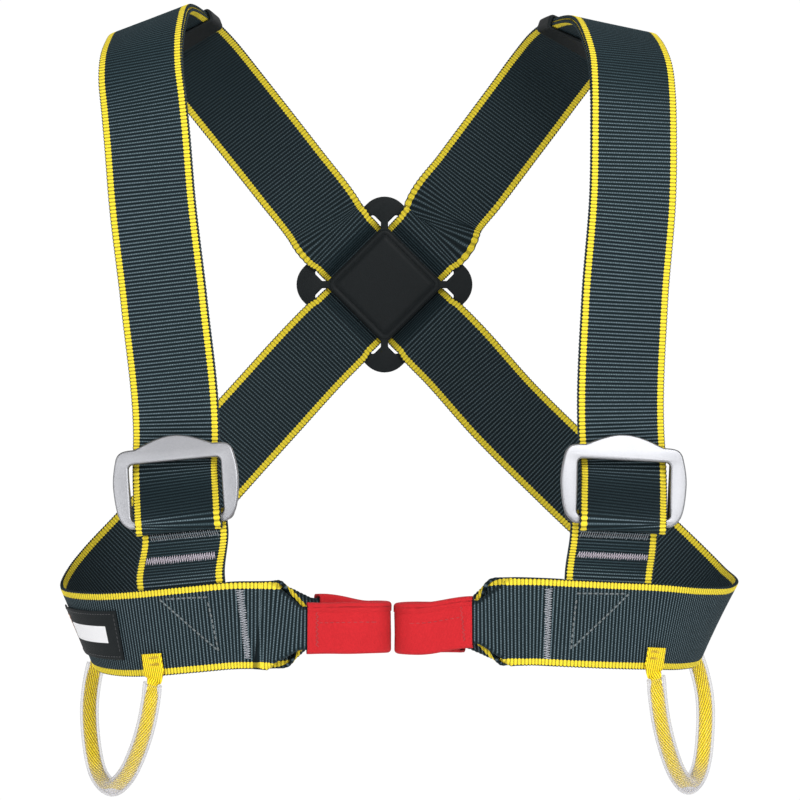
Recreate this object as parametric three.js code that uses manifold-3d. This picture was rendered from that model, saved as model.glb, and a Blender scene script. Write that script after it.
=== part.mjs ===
// Climbing chest harness, shown as it is worn. Millimetres, +Z up.
// The wearer faces -Y, and left and right are those of someone who looks at the chest.
// The origin is between the shoulders, at the crown that the shoulder straps hang over.
import * as THREE from 'three';
import { mergeVertices } from 'three/addons/utils/BufferGeometryUtils.js';
import Module from 'manifold-3d';

const wasm = await Module();
wasm.setup();

// Driving dimensions of the worn harness
const chestWidth = 340; // between the middles of the webbing at the two sides
const chestDepth = 177; // from the chest band to the back plate
const bandDrop = 316; // from the shoulder crown to the middle of the chest band

// Webbing
const webWidth = 45;
const webThick = 2.2;
const gap = 0.3; // clearance between pieces that touch

// Tie-in loops and their sleeves
const foldedWidth = webWidth / 2 + 0.5; // webbing folded in two inside the sleeve
const foldLength = 24; // stretch in which the webbing folds
const loopInside = 9; // clear width of the loop
const sleeveWall = 1.2;
const sleeveGap = 1; // between the two sleeves
const sleeveCover = { left: 44, right: 41 }; // front length of each sleeve
const loopLap = 11; // of the loop's rear layer on the band
const sleeveStep = 6; // between the ends of a sleeve's front and rear legs
const rearLayers = 2.4; // depth of the rear leg behind the band, in layers

// Buckles. Each webbing or strap passes a window that is wider than itself by a slack on each side.
const windowSlack = 1.6;
const legWidth = 8.6;
const windowWidth = webWidth + 2 * windowSlack;
const buckleWidth = windowWidth + 2 * legWidth;
const windowHeight = 29.5;
const windowCorner = 2.5;
const topBar = 7.5;
const archHeight = 6;
const bottomBar = 4;
const buckleThick = 3.2;
const innerSlack = 2.6;
const innerLeg = 3.1;
const innerWidth = webWidth + 2 * (innerSlack + innerLeg);
const innerHeight = 38.5;
const innerBar = 3.4;
const innerThick = 3;
const innerCorner = 5;
const buckleHeightOverBand = 54; // from the middle of the band to the bottom bars
const stubEnd = { rear: 17, front: 13 }; // ends of the stub strap under the middle of the band
const stubBend = 6; // from the stub strap's flat part to the buckle's bar
const tailBend = 6; // from the window's top to where the tail starts its turn
const riseStraight = 8; // of the strap over the window's top
const riseShift = 2; // of the strap there, towards the chest's middle
const tailJoin = 14; // from the window's top to where the tail follows the strap

// Back plate
const plateThick = 3;
const padRise = 1;
const padMargin = 0.6; // from the pad's edge to the slots
const padCorner = 5;
const slotOffset = 0.8; // of a slot's near side past the webbing's edge line
const slotSlack = 0.2; // of a slot past the webbing's two edges
const slotWidth = 8.5;
const rimWidth = 6.2;
const plateCorner = 13.5;
const neckWidth = 4;
const slotSqueeze = 0.95; // width that the webbing keeps in a slot, as a share
const slotLead = 0.5; // from a slot's sides to where the webbing turns into it
const slotRun = 3; // from the plate's rim and from a slot to where the webbing lies flat
const slotInner = webWidth / 2 + slotOffset;
const slotOuter = slotInner + slotWidth;
const plateHalf = slotOuter + rimWidth;
const padHalf = slotInner - padMargin;

// Keepers
const keeperLength = 15.75;
const keeperWall = 1.5;
const keeperPlace = 31.4; // from the crown of the shoulder to the keeper's middle
const tailEnd = 10.6; // past the keeper's middle

// Gear loops
const tubeWall = 1.2;
const tubeSlack = 0.7; // between the tube and the webbing's corners
const cordWidth = 6.2;
const cordThick = 1.4;
const tubeInner = cordWidth + 2 * tubeSlack;
const tubeOuter = tubeInner + 2 * tubeWall;
const tubeSides = 10;
const tabWidth = 12;
const tabHeight = 12;
const gearSpan = 93; // along the band, between the two tabs
const tabTurn = 1; // over which a tab turns the band's edge
const tubeEnd = 2.2; // from a tab's end down to the tube's end

// Label
const labelLength = 62;
const labelHeight = 26;
const labelThick = 1;
const labelPlace = 143.7; // from the middle of the chest to the label's front edge

const halfWidth = chestWidth / 2;
const halfDepth = chestDepth / 2;
const layer = webThick + gap;
const degrees = Math.PI / 180;

// Depths of what lies on the chest, from the band inwards and then out to the buckle
const bandY = -0.95 * halfDepth;
const innerLoop = Math.hypot(innerThick, innerBar) / 2 + gap + webThick / 2;
const outerLoop = Math.hypot(buckleThick, bottomBar) / 2 + gap + webThick / 2;
const stubRearY = bandY + 2 * layer;
const innerBarY = stubRearY - innerLoop;
const tailFrontY = innerBarY - innerLoop - layer;
const outerBarY = tailFrontY - outerLoop;
const behindInnerY = innerBarY + innerThick / 2 + 2 * gap + webThick / 2;
const outerTopY = innerBarY - innerThick / 2 - 2 * gap - buckleThick / 2;
const plateY = halfDepth - 0.5;

// The two webbings, each named after the shoulder that it crosses. The rows follow the webbing's
// middle line in the left shoulder's sense, and the right one is mirrored. x is a share of half the
// chest width, y of half its depth and z of the band's drop. lean and swing, in degrees, turn the
// direction of the upper edge: lean upwards from the chest's middle, swing towards the front.
const leftFront = [
  { x: -0.712, y: -0.927, z: -0.475, lean: 0, swing: 8 },
  { x: -0.748, y: -0.932, z: -0.31, lean: 0, swing: 8 },
  { x: -0.765, y: -0.898, z: -0.203, lean: 2, swing: 9 },
  { x: -0.776, y: -0.842, z: -0.149, lean: 5, swing: 10 },
  { x: -0.787, y: -0.763, z: -0.103, lean: 8, swing: 11 },
  { x: -0.789, y: -0.655, z: -0.062, lean: 12, swing: 12 },
  { x: -0.782, y: -0.492, z: -0.028, lean: 16, swing: 13 },
  { x: -0.767, y: -0.215, z: -0.002, lean: 20, swing: 14 },
  { x: -0.704, y: 0.147, z: -0.021, lean: 27, swing: 12 },
  { x: -0.631, y: 0.395, z: -0.06, lean: 33, swing: 7 },
  { x: -0.541, y: 0.621, z: -0.119, lean: 37, swing: 3 },
  { x: -0.447, y: 0.78, z: -0.182, lean: 39, swing: 0 },
  { x: -0.353, y: 0.893, z: -0.246, lean: 40, swing: 0 },
  { x: -0.253, y: 0.955, z: -0.315, lean: 42, swing: 0 },
];
const leftBack = [
  { x: 0.165, y: 0.966, z: -0.549, lean: 44, swing: 0 },
  { x: 0.332, y: 0.915, z: -0.65, lean: 43, swing: 0 },
  { x: 0.528, y: 0.802, z: -0.755, lean: 45, swing: 0 },
  { x: 0.731, y: 0.644, z: -0.86, lean: 50, swing: 0 },
  { x: 0.869, y: 0.475, z: -0.932, lean: 56, swing: 0 },
  { x: 0.944, y: 0.316, z: -0.973, lean: 59, swing: 0 },
  { x: 0.986, y: 0.09, z: -0.994, lean: 62, swing: 0 },
  { x: 0.965, y: -0.2, z: -1.008, lean: 66, swing: 0 },
  { x: 0.888, y: -0.475, z: -1.009, lean: 71, swing: 0 },
  { x: 0.774, y: -0.734, z: -1.003, lean: 77, swing: 0 },
  { x: 0.641, y: -0.864, z: -0.999, lean: 83, swing: 0 },
  { x: 0.512, y: -0.932, z: -0.995, lean: 88, swing: 0 },
  { x: 0.4, y: -0.95, z: -0.992, lean: 90, swing: 0 },
];
const rightFront = [
  { x: -0.678, y: -0.927, z: -0.475, lean: 0, swing: 8 },
  { x: -0.703, y: -0.932, z: -0.294, lean: 0, swing: 8 },
  { x: -0.706, y: -0.898, z: -0.195, lean: 1, swing: 9 },
  { x: -0.706, y: -0.831, z: -0.133, lean: 3, swing: 11 },
  { x: -0.701, y: -0.706, z: -0.081, lean: 5, swing: 13 },
  { x: -0.686, y: -0.559, z: -0.046, lean: 7, swing: 14 },
  { x: -0.671, y: -0.407, z: -0.024, lean: 9, swing: 15 },
  { x: -0.656, y: -0.215, z: -0.012, lean: 11, swing: 15 },
  { x: -0.593, y: 0.09, z: -0.021, lean: 20, swing: 13 },
  { x: -0.529, y: 0.339, z: -0.043, lean: 28, swing: 8 },
  { x: -0.469, y: 0.576, z: -0.08, lean: 33, swing: 4 },
  { x: -0.407, y: 0.718, z: -0.124, lean: 36, swing: 1 },
  { x: -0.314, y: 0.847, z: -0.19, lean: 37, swing: 0 },
  { x: -0.223, y: 0.921, z: -0.255, lean: 39, swing: 0 },
  { x: -0.141, y: 0.96, z: -0.313, lean: 42, swing: 0 },
];
const rightBack = [
  { x: 0.254, y: 0.972, z: -0.543, lean: 44, swing: 0 },
  { x: 0.427, y: 0.915, z: -0.645, lean: 43, swing: 0 },
  { x: 0.598, y: 0.802, z: -0.748, lean: 44, swing: 0 },
  { x: 0.799, y: 0.633, z: -0.871, lean: 51, swing: 0 },
  { x: 0.911, y: 0.475, z: -0.936, lean: 59, swing: 0 },
  { x: 0.966, y: 0.316, z: -0.972, lean: 64, swing: 0 },
  { x: 0.997, y: 0.102, z: -1.003, lean: 66, swing: 0 },
  { x: 0.984, y: -0.2, z: -1.014, lean: 68, swing: 0 },
  { x: 0.891, y: -0.52, z: -1.018, lean: 72, swing: 0 },
  { x: 0.758, y: -0.757, z: -1.013, lean: 78, swing: 0 },
  { x: 0.624, y: -0.876, z: -1.005, lean: 85, swing: 0 },
  { x: 0.482, y: -0.938, z: -0.998, lean: 90, swing: 0 },
  { x: 0.42, y: -0.95, z: -0.998, lean: 90, swing: 0 },
];

// What differs between the two halves: the buckle on the shoulder's own side, and the stub strap,
// tie-in loop and gear loop on the side where the webbing ends
const sides = [
  {
    shoulder: 'left', end: 'right', mirror: 1, front: leftFront, back: leftBack, order: 1,
    buckle: { x: -0.6655, lean: 5.5, swing: 8 },
    stub: { x: 0.625, shift: 4 },
    loop: { sink: 0.012, front: 0.011, rear: 0.001 }, cover: sleeveCover.right,
    gear: { place: 132.3, drop: 66.3, out: 9 },
  },
  {
    shoulder: 'right', end: 'left', mirror: -1, front: rightFront, back: rightBack, order: 0,
    buckle: { x: -0.669, lean: 3, swing: 8 },
    stub: { x: 0.655, shift: 2.5 },
    loop: { sink: 0.004, front: -0.001, rear: 0.011 }, cover: sleeveCover.left,
    gear: { place: 128, drop: 63, out: 6.3 },
  },
];
// Places across a stub strap, which bends with the band in front of it
const stubAcross = [-0.5, -1 / 3, -1 / 6, 0, 1 / 6, 1 / 3, 0.5].map((share) => share * webWidth);
const plateMiddle = { x: -0.05, z: -0.433 };
const loopMiddle = -0.022; // where the two sleeves meet, as a share of half the chest width

// The gear loop between its tabs: along is the share of the way from the front tab to the rear one,
// drop a share of the gear loop's drop under the band, and out of how far it stands off the chest
const gearLine = [
  { along: 0.005, drop: 0.03, out: 0.1 },
  { along: 0.03, drop: 0.16, out: 0.15 },
  { along: 0.1, drop: 0.38, out: 0.2 },
  { along: 0.23, drop: 0.65, out: 0.35 },
  { along: 0.4, drop: 0.88, out: 0.55 },
  { along: 0.59, drop: 1, out: 0.75 },
  { along: 0.8, drop: 0.92, out: 0.95 },
  { along: 0.915, drop: 0.66, out: 1 },
  { along: 0.975, drop: 0.33, out: 0.8 },
  { along: 0.995, drop: 0.16, out: 0.45 },
  { along: 1, drop: 0.03, out: 0.1 },
];

// Materials
const materials = {
  cloth: { color: 0x1d2b30, roughness: 0.9, metalness: 0 },
  steel: { color: 0xb9bac2, roughness: 0.35, metalness: 1 },
  darkSteel: { color: 0x33373a, roughness: 0.45, metalness: 0.9 },
  moulded: { color: 0x24292b, roughness: 0.6, metalness: 0 },
  redCloth: { color: 0xd2202f, roughness: 0.9, metalness: 0 },
  yellowCloth: { color: 0xe8c21c, roughness: 0.9, metalness: 0 },
  clearTube: { color: 0xe8e6ee, roughness: 0.15, metalness: 0, transparent: true, opacity: 0.4 },
  labelCloth: { color: 0x0c0d0f, roughness: 0.9, metalness: 0 },
};

const harness = new THREE.Group();

const vector = (x, y, z) => new THREE.Vector3(x, y, z);

function along(origin, ...steps) {
  const point = origin.clone();
  for (const [direction, length] of steps) {
    point.addScaledVector(direction, length);
  }
  return point;
}

function smooth(value) {
  const share = Math.min(1, Math.max(0, value));
  return share * share * (3 - 2 * share);
}

// Direction towards a webbing's lower or outer edge, from a row's lean and swing
function edgeDirection(lean, swing) {
  const a = lean * degrees;
  const b = swing * degrees;
  return vector(-Math.cos(a) * Math.cos(b), Math.sin(b), -Math.sin(a) * Math.cos(b));
}

function station(point, across, width = webWidth, thick = webThick) {
  return { point, across: across.clone().normalize(), width, thick };
}

function stationFromRow(row) {
  const point = vector(row.x * halfWidth, row.y * halfDepth, row.z * bandDrop);
  return station(point, edgeDirection(row.lean, row.swing));
}

// A smooth line through stations: its frames lie about a millimetre apart, and each has a point,
// the tangent, the direction across and the outward normal
function makeRun(stations) {
  const values = stations.map((s) => [...s.point.toArray(), ...s.across.toArray(), s.width, s.thick]);
  const spans = [];
  for (let i = 1; i < stations.length; i += 1) {
    spans.push(stations[i].point.distanceTo(stations[i - 1].point));
  }
  const last = spans.length;
  const slope = (i, k) => (values[i + 1][k] - values[i][k]) / spans[i];
  const slopes = values.map((value, i) => value.map((unused, k) => {
    if (i === 0) {
      return slope(0, k);
    }
    if (i === last) {
      return slope(last - 1, k);
    }
    const total = spans[i - 1] + spans[i];
    return (slope(i - 1, k) * spans[i] + slope(i, k) * spans[i - 1]) / total;
  }));
  const frames = [];
  for (let i = 0; i < last; i += 1) {
    const steps = Math.max(2, Math.ceil(spans[i]));
    for (let j = i === 0 ? 0 : 1; j <= steps; j += 1) {
      const t = j / steps;
      const start = (1 + 2 * t) * (1 - t) ** 2;
      const startSlope = t * (1 - t) ** 2 * spans[i];
      const end = t * t * (3 - 2 * t);
      const endSlope = t * t * (t - 1) * spans[i];
      const mixed = values[i].map((value, k) => (
        value * start + slopes[i][k] * startSlope + values[i + 1][k] * end + slopes[i + 1][k] * endSlope
      ));
      frames.push({
        point: vector(mixed[0], mixed[1], mixed[2]),
        across: vector(mixed[3], mixed[4], mixed[5]),
        width: mixed[6],
        thick: mixed[7],
      });
    }
  }
  let length = 0;
  frames.forEach((frame, i) => {
    const before = frames[Math.max(0, i - 1)].point;
    const after = frames[Math.min(frames.length - 1, i + 1)].point;
    frame.tangent = after.clone().sub(before).normalize();
    frame.normal = frame.tangent.clone().cross(frame.across).normalize();
    frame.across = frame.normal.clone().cross(frame.tangent).normalize();
    if (i > 0) {
      length += frame.point.distanceTo(before);
    }
    frame.at = length;
  });
  return { frames, length };
}

// Frame of a run at a distance along it
function frameAt(run, distance) {
  const { frames } = run;
  let i = 1;
  while (i < frames.length - 1 && frames[i].at < distance) {
    i += 1;
  }
  const [a, b] = [frames[i - 1], frames[i]];
  const t = (distance - a.at) / (b.at - a.at);
  const tangent = a.tangent.clone().lerp(b.tangent, t).normalize();
  const normal = a.normal.clone().lerp(b.normal, t).normalize();
  return {
    point: a.point.clone().lerp(b.point, t),
    tangent,
    normal,
    across: normal.clone().cross(tangent).normalize(),
    width: a.width + (b.width - a.width) * t,
    thick: a.thick + (b.thick - a.thick) * t,
    at: distance,
  };
}

// Distance along a run, counted from its last frame backwards, where it reaches a given x
function findX(run, x) {
  const { frames } = run;
  for (let i = frames.length - 1; i > 0; i -= 1) {
    const [a, b] = [frames[i - 1].point.x, frames[i].point.x];
    if ((a - x) * (b - x) <= 0) {
      return frames[i - 1].at + (frames[i].at - frames[i - 1].at) * ((x - a) / (b - a || 1));
    }
  }
  throw new Error('the webbing never reaches this place');
}

// The frames that a solid needs: close where the run bends or twists, far apart where it is straight,
// and at the places that another piece needs
function chooseFrames(frames, needed = [], bend = 9, twist = 3, reach = 24) {
  const chosen = [frames[0]];
  for (let i = 1; i < frames.length - 1; i += 1) {
    const previous = chosen[chosen.length - 1];
    const next = frames[i + 1];
    const turned = previous.tangent.angleTo(next.tangent) > bend * degrees;
    const twisted = Math.abs(previous.across.dot(next.normal)) > Math.sin(twist * degrees);
    const widened = Math.abs(previous.width - next.width) > webWidth / 20;
    const wanted = needed.some((at) => frames[i].at <= at && next.at > at);
    if (turned || twisted || widened || wanted || next.at - previous.at > reach) {
      chosen.push(frames[i]);
    }
  }
  chosen.push(frames[frames.length - 1]);
  return chosen;
}

function cut(run, from, to) {
  const inner = run.frames.filter((frame) => frame.at > from + 0.2 && frame.at < to - 0.2);
  return [frameAt(run, from), ...inner, frameAt(run, to)];
}

// Two triangles for a quad, split through its highest corner, so that layers on each other split alike
function splitQuad(points, quad) {
  const heights = quad.map((index) => points[index].z);
  const highest = heights.indexOf(Math.max(...heights));
  const [a, b, c, d] = [0, 1, 2, 3].map((k) => quad[(k + highest) % 4]);
  return [[a, b, c], [a, c, d]];
}

// Closed surface over rings of points, each ring closed on itself. With no inner rings its ends are
// flat fans, and with inner rings it is a tube whose two ends are open.
function skin(outer, inner) {
  const size = outer[0].length;
  const points = [];
  const faces = [];
  const wall = (rings, flip) => {
    const base = points.length;
    rings.forEach((ring) => points.push(...ring));
    for (let i = 0; i < rings.length - 1; i += 1) {
      for (let j = 0; j < size; j += 1) {
        const a = base + i * size + j;
        const b = base + i * size + ((j + 1) % size);
        faces.push(...splitQuad(points, flip ? [a, b, b + size, a + size] : [a, a + size, b + size, b]));
      }
    }
    return base;
  };
  const outerBase = wall(outer, false);
  const lastOuter = outerBase + (outer.length - 1) * size;
  if (inner) {
    const innerBase = wall(inner, true);
    const lastInner = innerBase + (inner.length - 1) * size;
    for (let j = 0; j < size; j += 1) {
      const k = (j + 1) % size;
      faces.push([outerBase + j, outerBase + k, innerBase + j], [outerBase + k, innerBase + k, innerBase + j]);
      faces.push([lastOuter + j, lastInner + j, lastOuter + k], [lastOuter + k, lastInner + j, lastInner + k]);
    }
  } else {
    for (let j = 1; j < size - 1; j += 1) {
      faces.push([outerBase, outerBase + j, outerBase + j + 1]);
      faces.push([lastOuter, lastOuter + j + 1, lastOuter + j]);
    }
  }
  return { points, faces };
}

// A sheet of cloth over a grid of places: rows run along it, columns across it
function slab(grid, thick) {
  const rings = grid.map((row, i) => {
    const before = grid[Math.max(0, i - 1)];
    const after = grid[Math.min(grid.length - 1, i + 1)];
    const normals = row.map((place, j) => {
      const lengthwise = after[j].clone().sub(before[j]);
      const crosswise = row[Math.min(row.length - 1, j + 1)].clone().sub(row[Math.max(0, j - 1)]);
      return lengthwise.cross(crosswise).normalize();
    });
    const upper = row.map((place, j) => along(place, [normals[j], thick / 2]));
    const lower = row.map((place, j) => along(place, [normals[j], -thick / 2]));
    return [...upper, ...lower.reverse()];
  });
  return skinOfStrip(rings);
}

// As skin, for the flat rings of a slab: the two ends are strips of quads between its faces
function skinOfStrip(rings) {
  const body = skin(rings);
  const size = rings[0].length;
  const half = size / 2;
  const last = (rings.length - 1) * size;
  body.faces = body.faces.slice(0, (rings.length - 1) * size * 2);
  for (let j = 0; j < half - 1; j += 1) {
    const far = size - 1 - j;
    body.faces.push([j, j + 1, far], [j + 1, far - 1, far]);
    body.faces.push([last + j, last + far, last + j + 1], [last + j + 1, last + far, last + far - 1]);
  }
  return body;
}

// Rectangular ring of points round a frame, shifted along its normal
function boxRing(frame, width, thick, shift = 0) {
  const middle = along(frame.point, [frame.normal, shift]);
  const { across, normal } = frame;
  return [[-1, 1], [1, 1], [1, -1], [-1, -1]].map(([a, n]) => (
    along(middle, [across, (a * width) / 2], [normal, (n * thick) / 2])
  ));
}

function roundRing(frame, radius, count) {
  return Array.from({ length: count }, (unused, i) => {
    const angle = (2 * Math.PI * i) / count;
    return along(frame.point, [frame.across, radius * Math.sin(angle)], [frame.normal, radius * Math.cos(angle)]);
  });
}

function toGeometry({ points, faces }, mirror) {
  const geometry = new THREE.BufferGeometry();
  const flat = points.flatMap((point) => [point.x * mirror, point.y, point.z]);
  const turned = mirror < 0 ? faces.map(([a, b, c]) => [a, c, b]) : faces;
  geometry.setAttribute('position', new THREE.Float32BufferAttribute(flat, 3));
  geometry.setIndex(turned.flat());
  return geometry;
}

function addPiece(name, body, finish, mirror = 1) {
  const geometry = body.isBufferGeometry ? body : toGeometry(body, mirror);
  const mesh = new THREE.Mesh(geometry, new THREE.MeshStandardMaterial(materials[finish]));
  mesh.name = name;
  harness.add(mesh);
}

// Solids for joining and cutting
function toSolid(geometry) {
  const bare = geometry.clone();
  bare.deleteAttribute('normal');
  bare.deleteAttribute('uv');
  const merged = mergeVertices(bare, 1e-4);
  return new wasm.Manifold(new wasm.Mesh({
    numProp: 3,
    vertProperties: new Float32Array(merged.attributes.position.array),
    triVerts: new Uint32Array(merged.index.array),
  }));
}

function fromSolid(solid) {
  const mesh = solid.getMesh();
  const geometry = new THREE.BufferGeometry();
  geometry.setAttribute('position', new THREE.Float32BufferAttribute(mesh.vertProperties, 3));
  geometry.setIndex(Array.from(mesh.triVerts));
  return geometry;
}

// Buckle seat: where the bottom bars lie in front of the chest, with the directions in the strap's plane
function buckleSeat(x, lean, swing) {
  const inward = edgeDirection(lean, swing).negate();
  const outward = vector(0, 0, 1).cross(inward).negate().normalize();
  const upward = outward.clone().cross(inward).normalize();
  const middle = vector(x * halfWidth, 0, -bandDrop + buckleHeightOverBand);
  return { middle, inward, upward, outward };
}

function seatPoint(seat, side, height, depth) {
  const point = along(seat.middle, [seat.inward, side], [seat.upward, height]);
  point.y += depth;
  return point;
}

// Webbing from its tail behind the front strap to the end of its tie-in loop
function webbingStations(side) {
  const seat = buckleSeat(side.buckle.x, side.buckle.lean, side.buckle.swing);
  const outerEdge = seat.inward.clone().negate();
  const front = side.front.map(stationFromRow);
  const middle = vector(side.mirror * plateMiddle.x * halfWidth, plateY, plateMiddle.z * bandDrop);
  const diagonal = vector(-Math.SQRT1_2, 0, Math.SQRT1_2);
  const behind = plateThick + gap + webThick / 2 + side.order * layer;
  const before = -(webThick / 2 + 1.5 * gap);
  const weave = [
    { out: plateHalf + slotRun, depth: before, width: 1 },
    { out: slotOuter + slotRun, depth: before, width: 0.985 },
    ...[0, 0.25, 0.5, 0.75, 1].map((share) => ({
      out: slotOuter + slotLead + (slotInner - slotOuter) * share,
      depth: before + (behind - before) * smooth(share),
      width: slotSqueeze,
    })),
    { out: slotInner - slotRun + 2 * slotLead, depth: behind, width: 0.965 },
    { out: slotInner / 2, depth: behind, width: 0.97 },
  ];
  const plateEdge = edgeDirection(45, 0);
  const weaveStation = ({ out, depth, width }) => station(
    along(middle, [diagonal, out], [vector(0, 1, 0), depth]), plateEdge, width * webWidth,
  );
  const crossing = [
    ...weave.map(weaveStation),
    weaveStation({ out: 0, depth: behind, width: 0.98 }),
    ...weave.map((row) => weaveStation({ ...row, out: -row.out })).reverse(),
  ];

  // Round the outer frame's bottom bar, from the tail behind it to the window in front
  const fold = [180, 210, 240, 270, 300, 330, 360].map((angle) => {
    const a = angle * degrees;
    return station(
      seatPoint(seat, 0, outerLoop * Math.sin(a), outerBarY - outerLoop * Math.cos(a)), outerEdge,
    );
  });
  const windowTop = bottomBar / 2 + windowHeight;
  const rise = [
    station(seatPoint(seat, 0, bottomBar / 2, outerBarY - outerLoop), outerEdge),
    station(seatPoint(seat, riseShift / 2, windowTop, behindInnerY), outerEdge),
    station(seatPoint(seat, riseShift, windowTop + riseStraight, behindInnerY), outerEdge),
  ];
  return { seat, outerEdge, front, crossing, fold, rise, windowTop };
}

function makeWebbing(side) {
  const parts = webbingStations(side);
  const { seat, outerEdge, windowTop } = parts;
  const main = [...parts.rise, ...parts.front, ...parts.crossing, ...side.back.map(stationFromRow)];

  // The keeper's place on the main layer, and how far down the tail follows that layer
  const upper = makeRun(main);
  const crown = upper.frames.find((frame) => frame.tangent.z <= 0 && frame.at > webWidth);
  const keeperAt = crown.at + keeperPlace;
  const keeperEnds = [keeperAt - keeperLength / 2, keeperAt + keeperLength / 2];
  const tailFrom = upper.frames.find((frame) => frame.point.z > seat.middle.z + windowTop + tailJoin).at;
  const tailTo = keeperAt + tailEnd;

  // Tie-in loop, folded to half width
  const meet = side.mirror * loopMiddle * halfWidth + sleeveGap / 2;
  const foldedThick = 2 * webThick + gap;
  const legThick = foldedThick + 2 * (gap + sleeveWall);
  const bend = (loopInside + legThick) / 2;
  const centreX = meet + legThick / 2 + bend;
  const sleeveFrom = meet + side.cover;
  const frontY = bandY + legThick / 2 - webThick / 2;
  const rearY = frontY + 2 * bend;
  const lastRow = side.back[side.back.length - 1];
  const bandZ = lastRow.z * bandDrop;
  const legZ = bandZ - side.loop.sink * bandDrop;
  const down = vector(0, 0, -1);
  const folding = [
    { from: 1, width: 1, thick: webThick },
    { from: 0.75, width: 0.92, thick: 1.25 * webThick },
    { from: 0.48, width: 0.77, thick: 1.6 * webThick },
    { from: 0.27, width: 0.61, thick: 1.9 * webThick },
    { from: 0.12, width: foldedWidth / webWidth, thick: foldedThick },
    { from: -0.06, width: foldedWidth / webWidth, thick: foldedThick },
  ];
  const foldStation = ({ from, width, thick }, start, nearY, farY, z) => station(
    vector(start + from * foldLength, nearY + (farY - nearY) * from, z + (bandZ - z) * smooth(from)),
    down, width * webWidth, thick,
  );
  const frontFold = folding.map((row) => (
    foldStation(row, sleeveFrom, frontY, bandY, legZ + side.loop.front * bandDrop)
  ));
  const arc = [];
  for (let angle = 0; angle <= 180; angle += 22.5) {
    const a = angle * degrees;
    const point = vector(centreX - bend * Math.sin(a), (frontY + rearY) / 2 - bend * Math.cos(a), legZ);
    arc.push(station(point, down, foldedWidth, foldedThick));
  }
  const rearFrom = sleeveFrom - sleeveStep;
  const band = makeRun([...main, ...frontFold.slice(0, 1)]);
  const stubEdge = findX(band, side.stub.x * halfWidth - webWidth / 2) + 1;
  const rearEnd = [1, 0.5, 0].map((share) => {
    const frame = frameAt(band, stubEdge + share * loopLap);
    return station(along(frame.point, [frame.normal, -layer]), frame.across);
  });
  const rearFold = folding.slice(1).reverse().map((row) => (
    foldStation(row, rearFrom, rearY, bandY + rearLayers * layer, legZ + side.loop.rear * bandDrop)
  ));
  const loop = [...frontFold, ...arc, ...rearFold, ...rearEnd];
  const strap = makeRun([...main, ...loop]);
  const stubColumns = stubAcross.map((a) => findX(band, side.stub.x * halfWidth + a));
  const strapFrames = chooseFrames(strap.frames, [tailFrom, tailTo, ...keeperEnds, ...stubColumns]);

  // Tail: the main layer's own frames, one layer nearer the body
  const tail = strapFrames.filter((frame) => frame.at > tailFrom - 1 && frame.at < tailTo + 1).reverse()
    .map((frame) => ({
      ...frame,
      point: along(frame.point, [frame.normal, -layer]),
      tangent: frame.tangent.clone().negate(),
      normal: frame.normal.clone().negate(),
    }));
  const lastTail = tail[tail.length - 1];
  const turn = makeRun([
    station(lastTail.point, lastTail.across),
    station(seatPoint(seat, riseShift, windowTop + tailBend, behindInnerY + layer), outerEdge),
    station(seatPoint(seat, riseShift / 2, windowTop, behindInnerY + layer), outerEdge),
    station(seatPoint(seat, 0, bottomBar, tailFrontY + gap), outerEdge),
    ...parts.fold,
    main[0],
  ]);
  const frames = [...tail, ...chooseFrames(turn.frames).slice(1, -1), ...strapFrames];
  const rings = frames.map((frame) => boxRing(frame, frame.width, frame.thick));
  addPiece(`webbing_${side.end}_band`, skin(rings), 'cloth', side.mirror);

  // Sleeve over the loop, from the front fold round the end to the rear fold
  const loopRun = makeRun(loop);
  const firstArc = loopRun.frames.findIndex((frame) => frame.point.x <= sleeveFrom);
  const lastArc = loopRun.frames.findIndex((frame) => frame.point.y > 0.5 * (frontY + rearY)
    && frame.point.x >= rearFrom - 0.5);
  const covered = cut(loopRun, loopRun.frames[firstArc].at, loopRun.frames[lastArc].at);
  const sleeveBore = [foldedWidth + 3 * gap, foldedThick + 2 * gap];
  const chosen = chooseFrames(covered);
  const sleeveRings = (grow) => chosen.map((frame) => (
    boxRing(frame, sleeveBore[0] + 2 * grow, sleeveBore[1] + 2 * grow)
  ));
  addPiece(`tie_in_sleeve_${side.end}`, skin(sleeveRings(sleeveWall), sleeveRings(0)), 'redCloth', side.mirror);

  // Keeper round the strap and its tail
  const held = strapFrames.filter((frame) => frame.at > keeperEnds[0] - 1 && frame.at <= keeperEnds[1]);
  const keeperBore = [webWidth + 3 * gap, 2 * webThick + 4 * gap];
  const keeperRings = (grow) => held.map((frame) => (
    boxRing(frame, keeperBore[0] + 2 * grow, keeperBore[1] + 2 * grow, -layer / 2)
  ));
  addPiece(`keeper_${side.shoulder}`, skin(keeperRings(keeperWall), keeperRings(0)), 'moulded', side.mirror);
  return { upper, band, seat };
}

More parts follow.
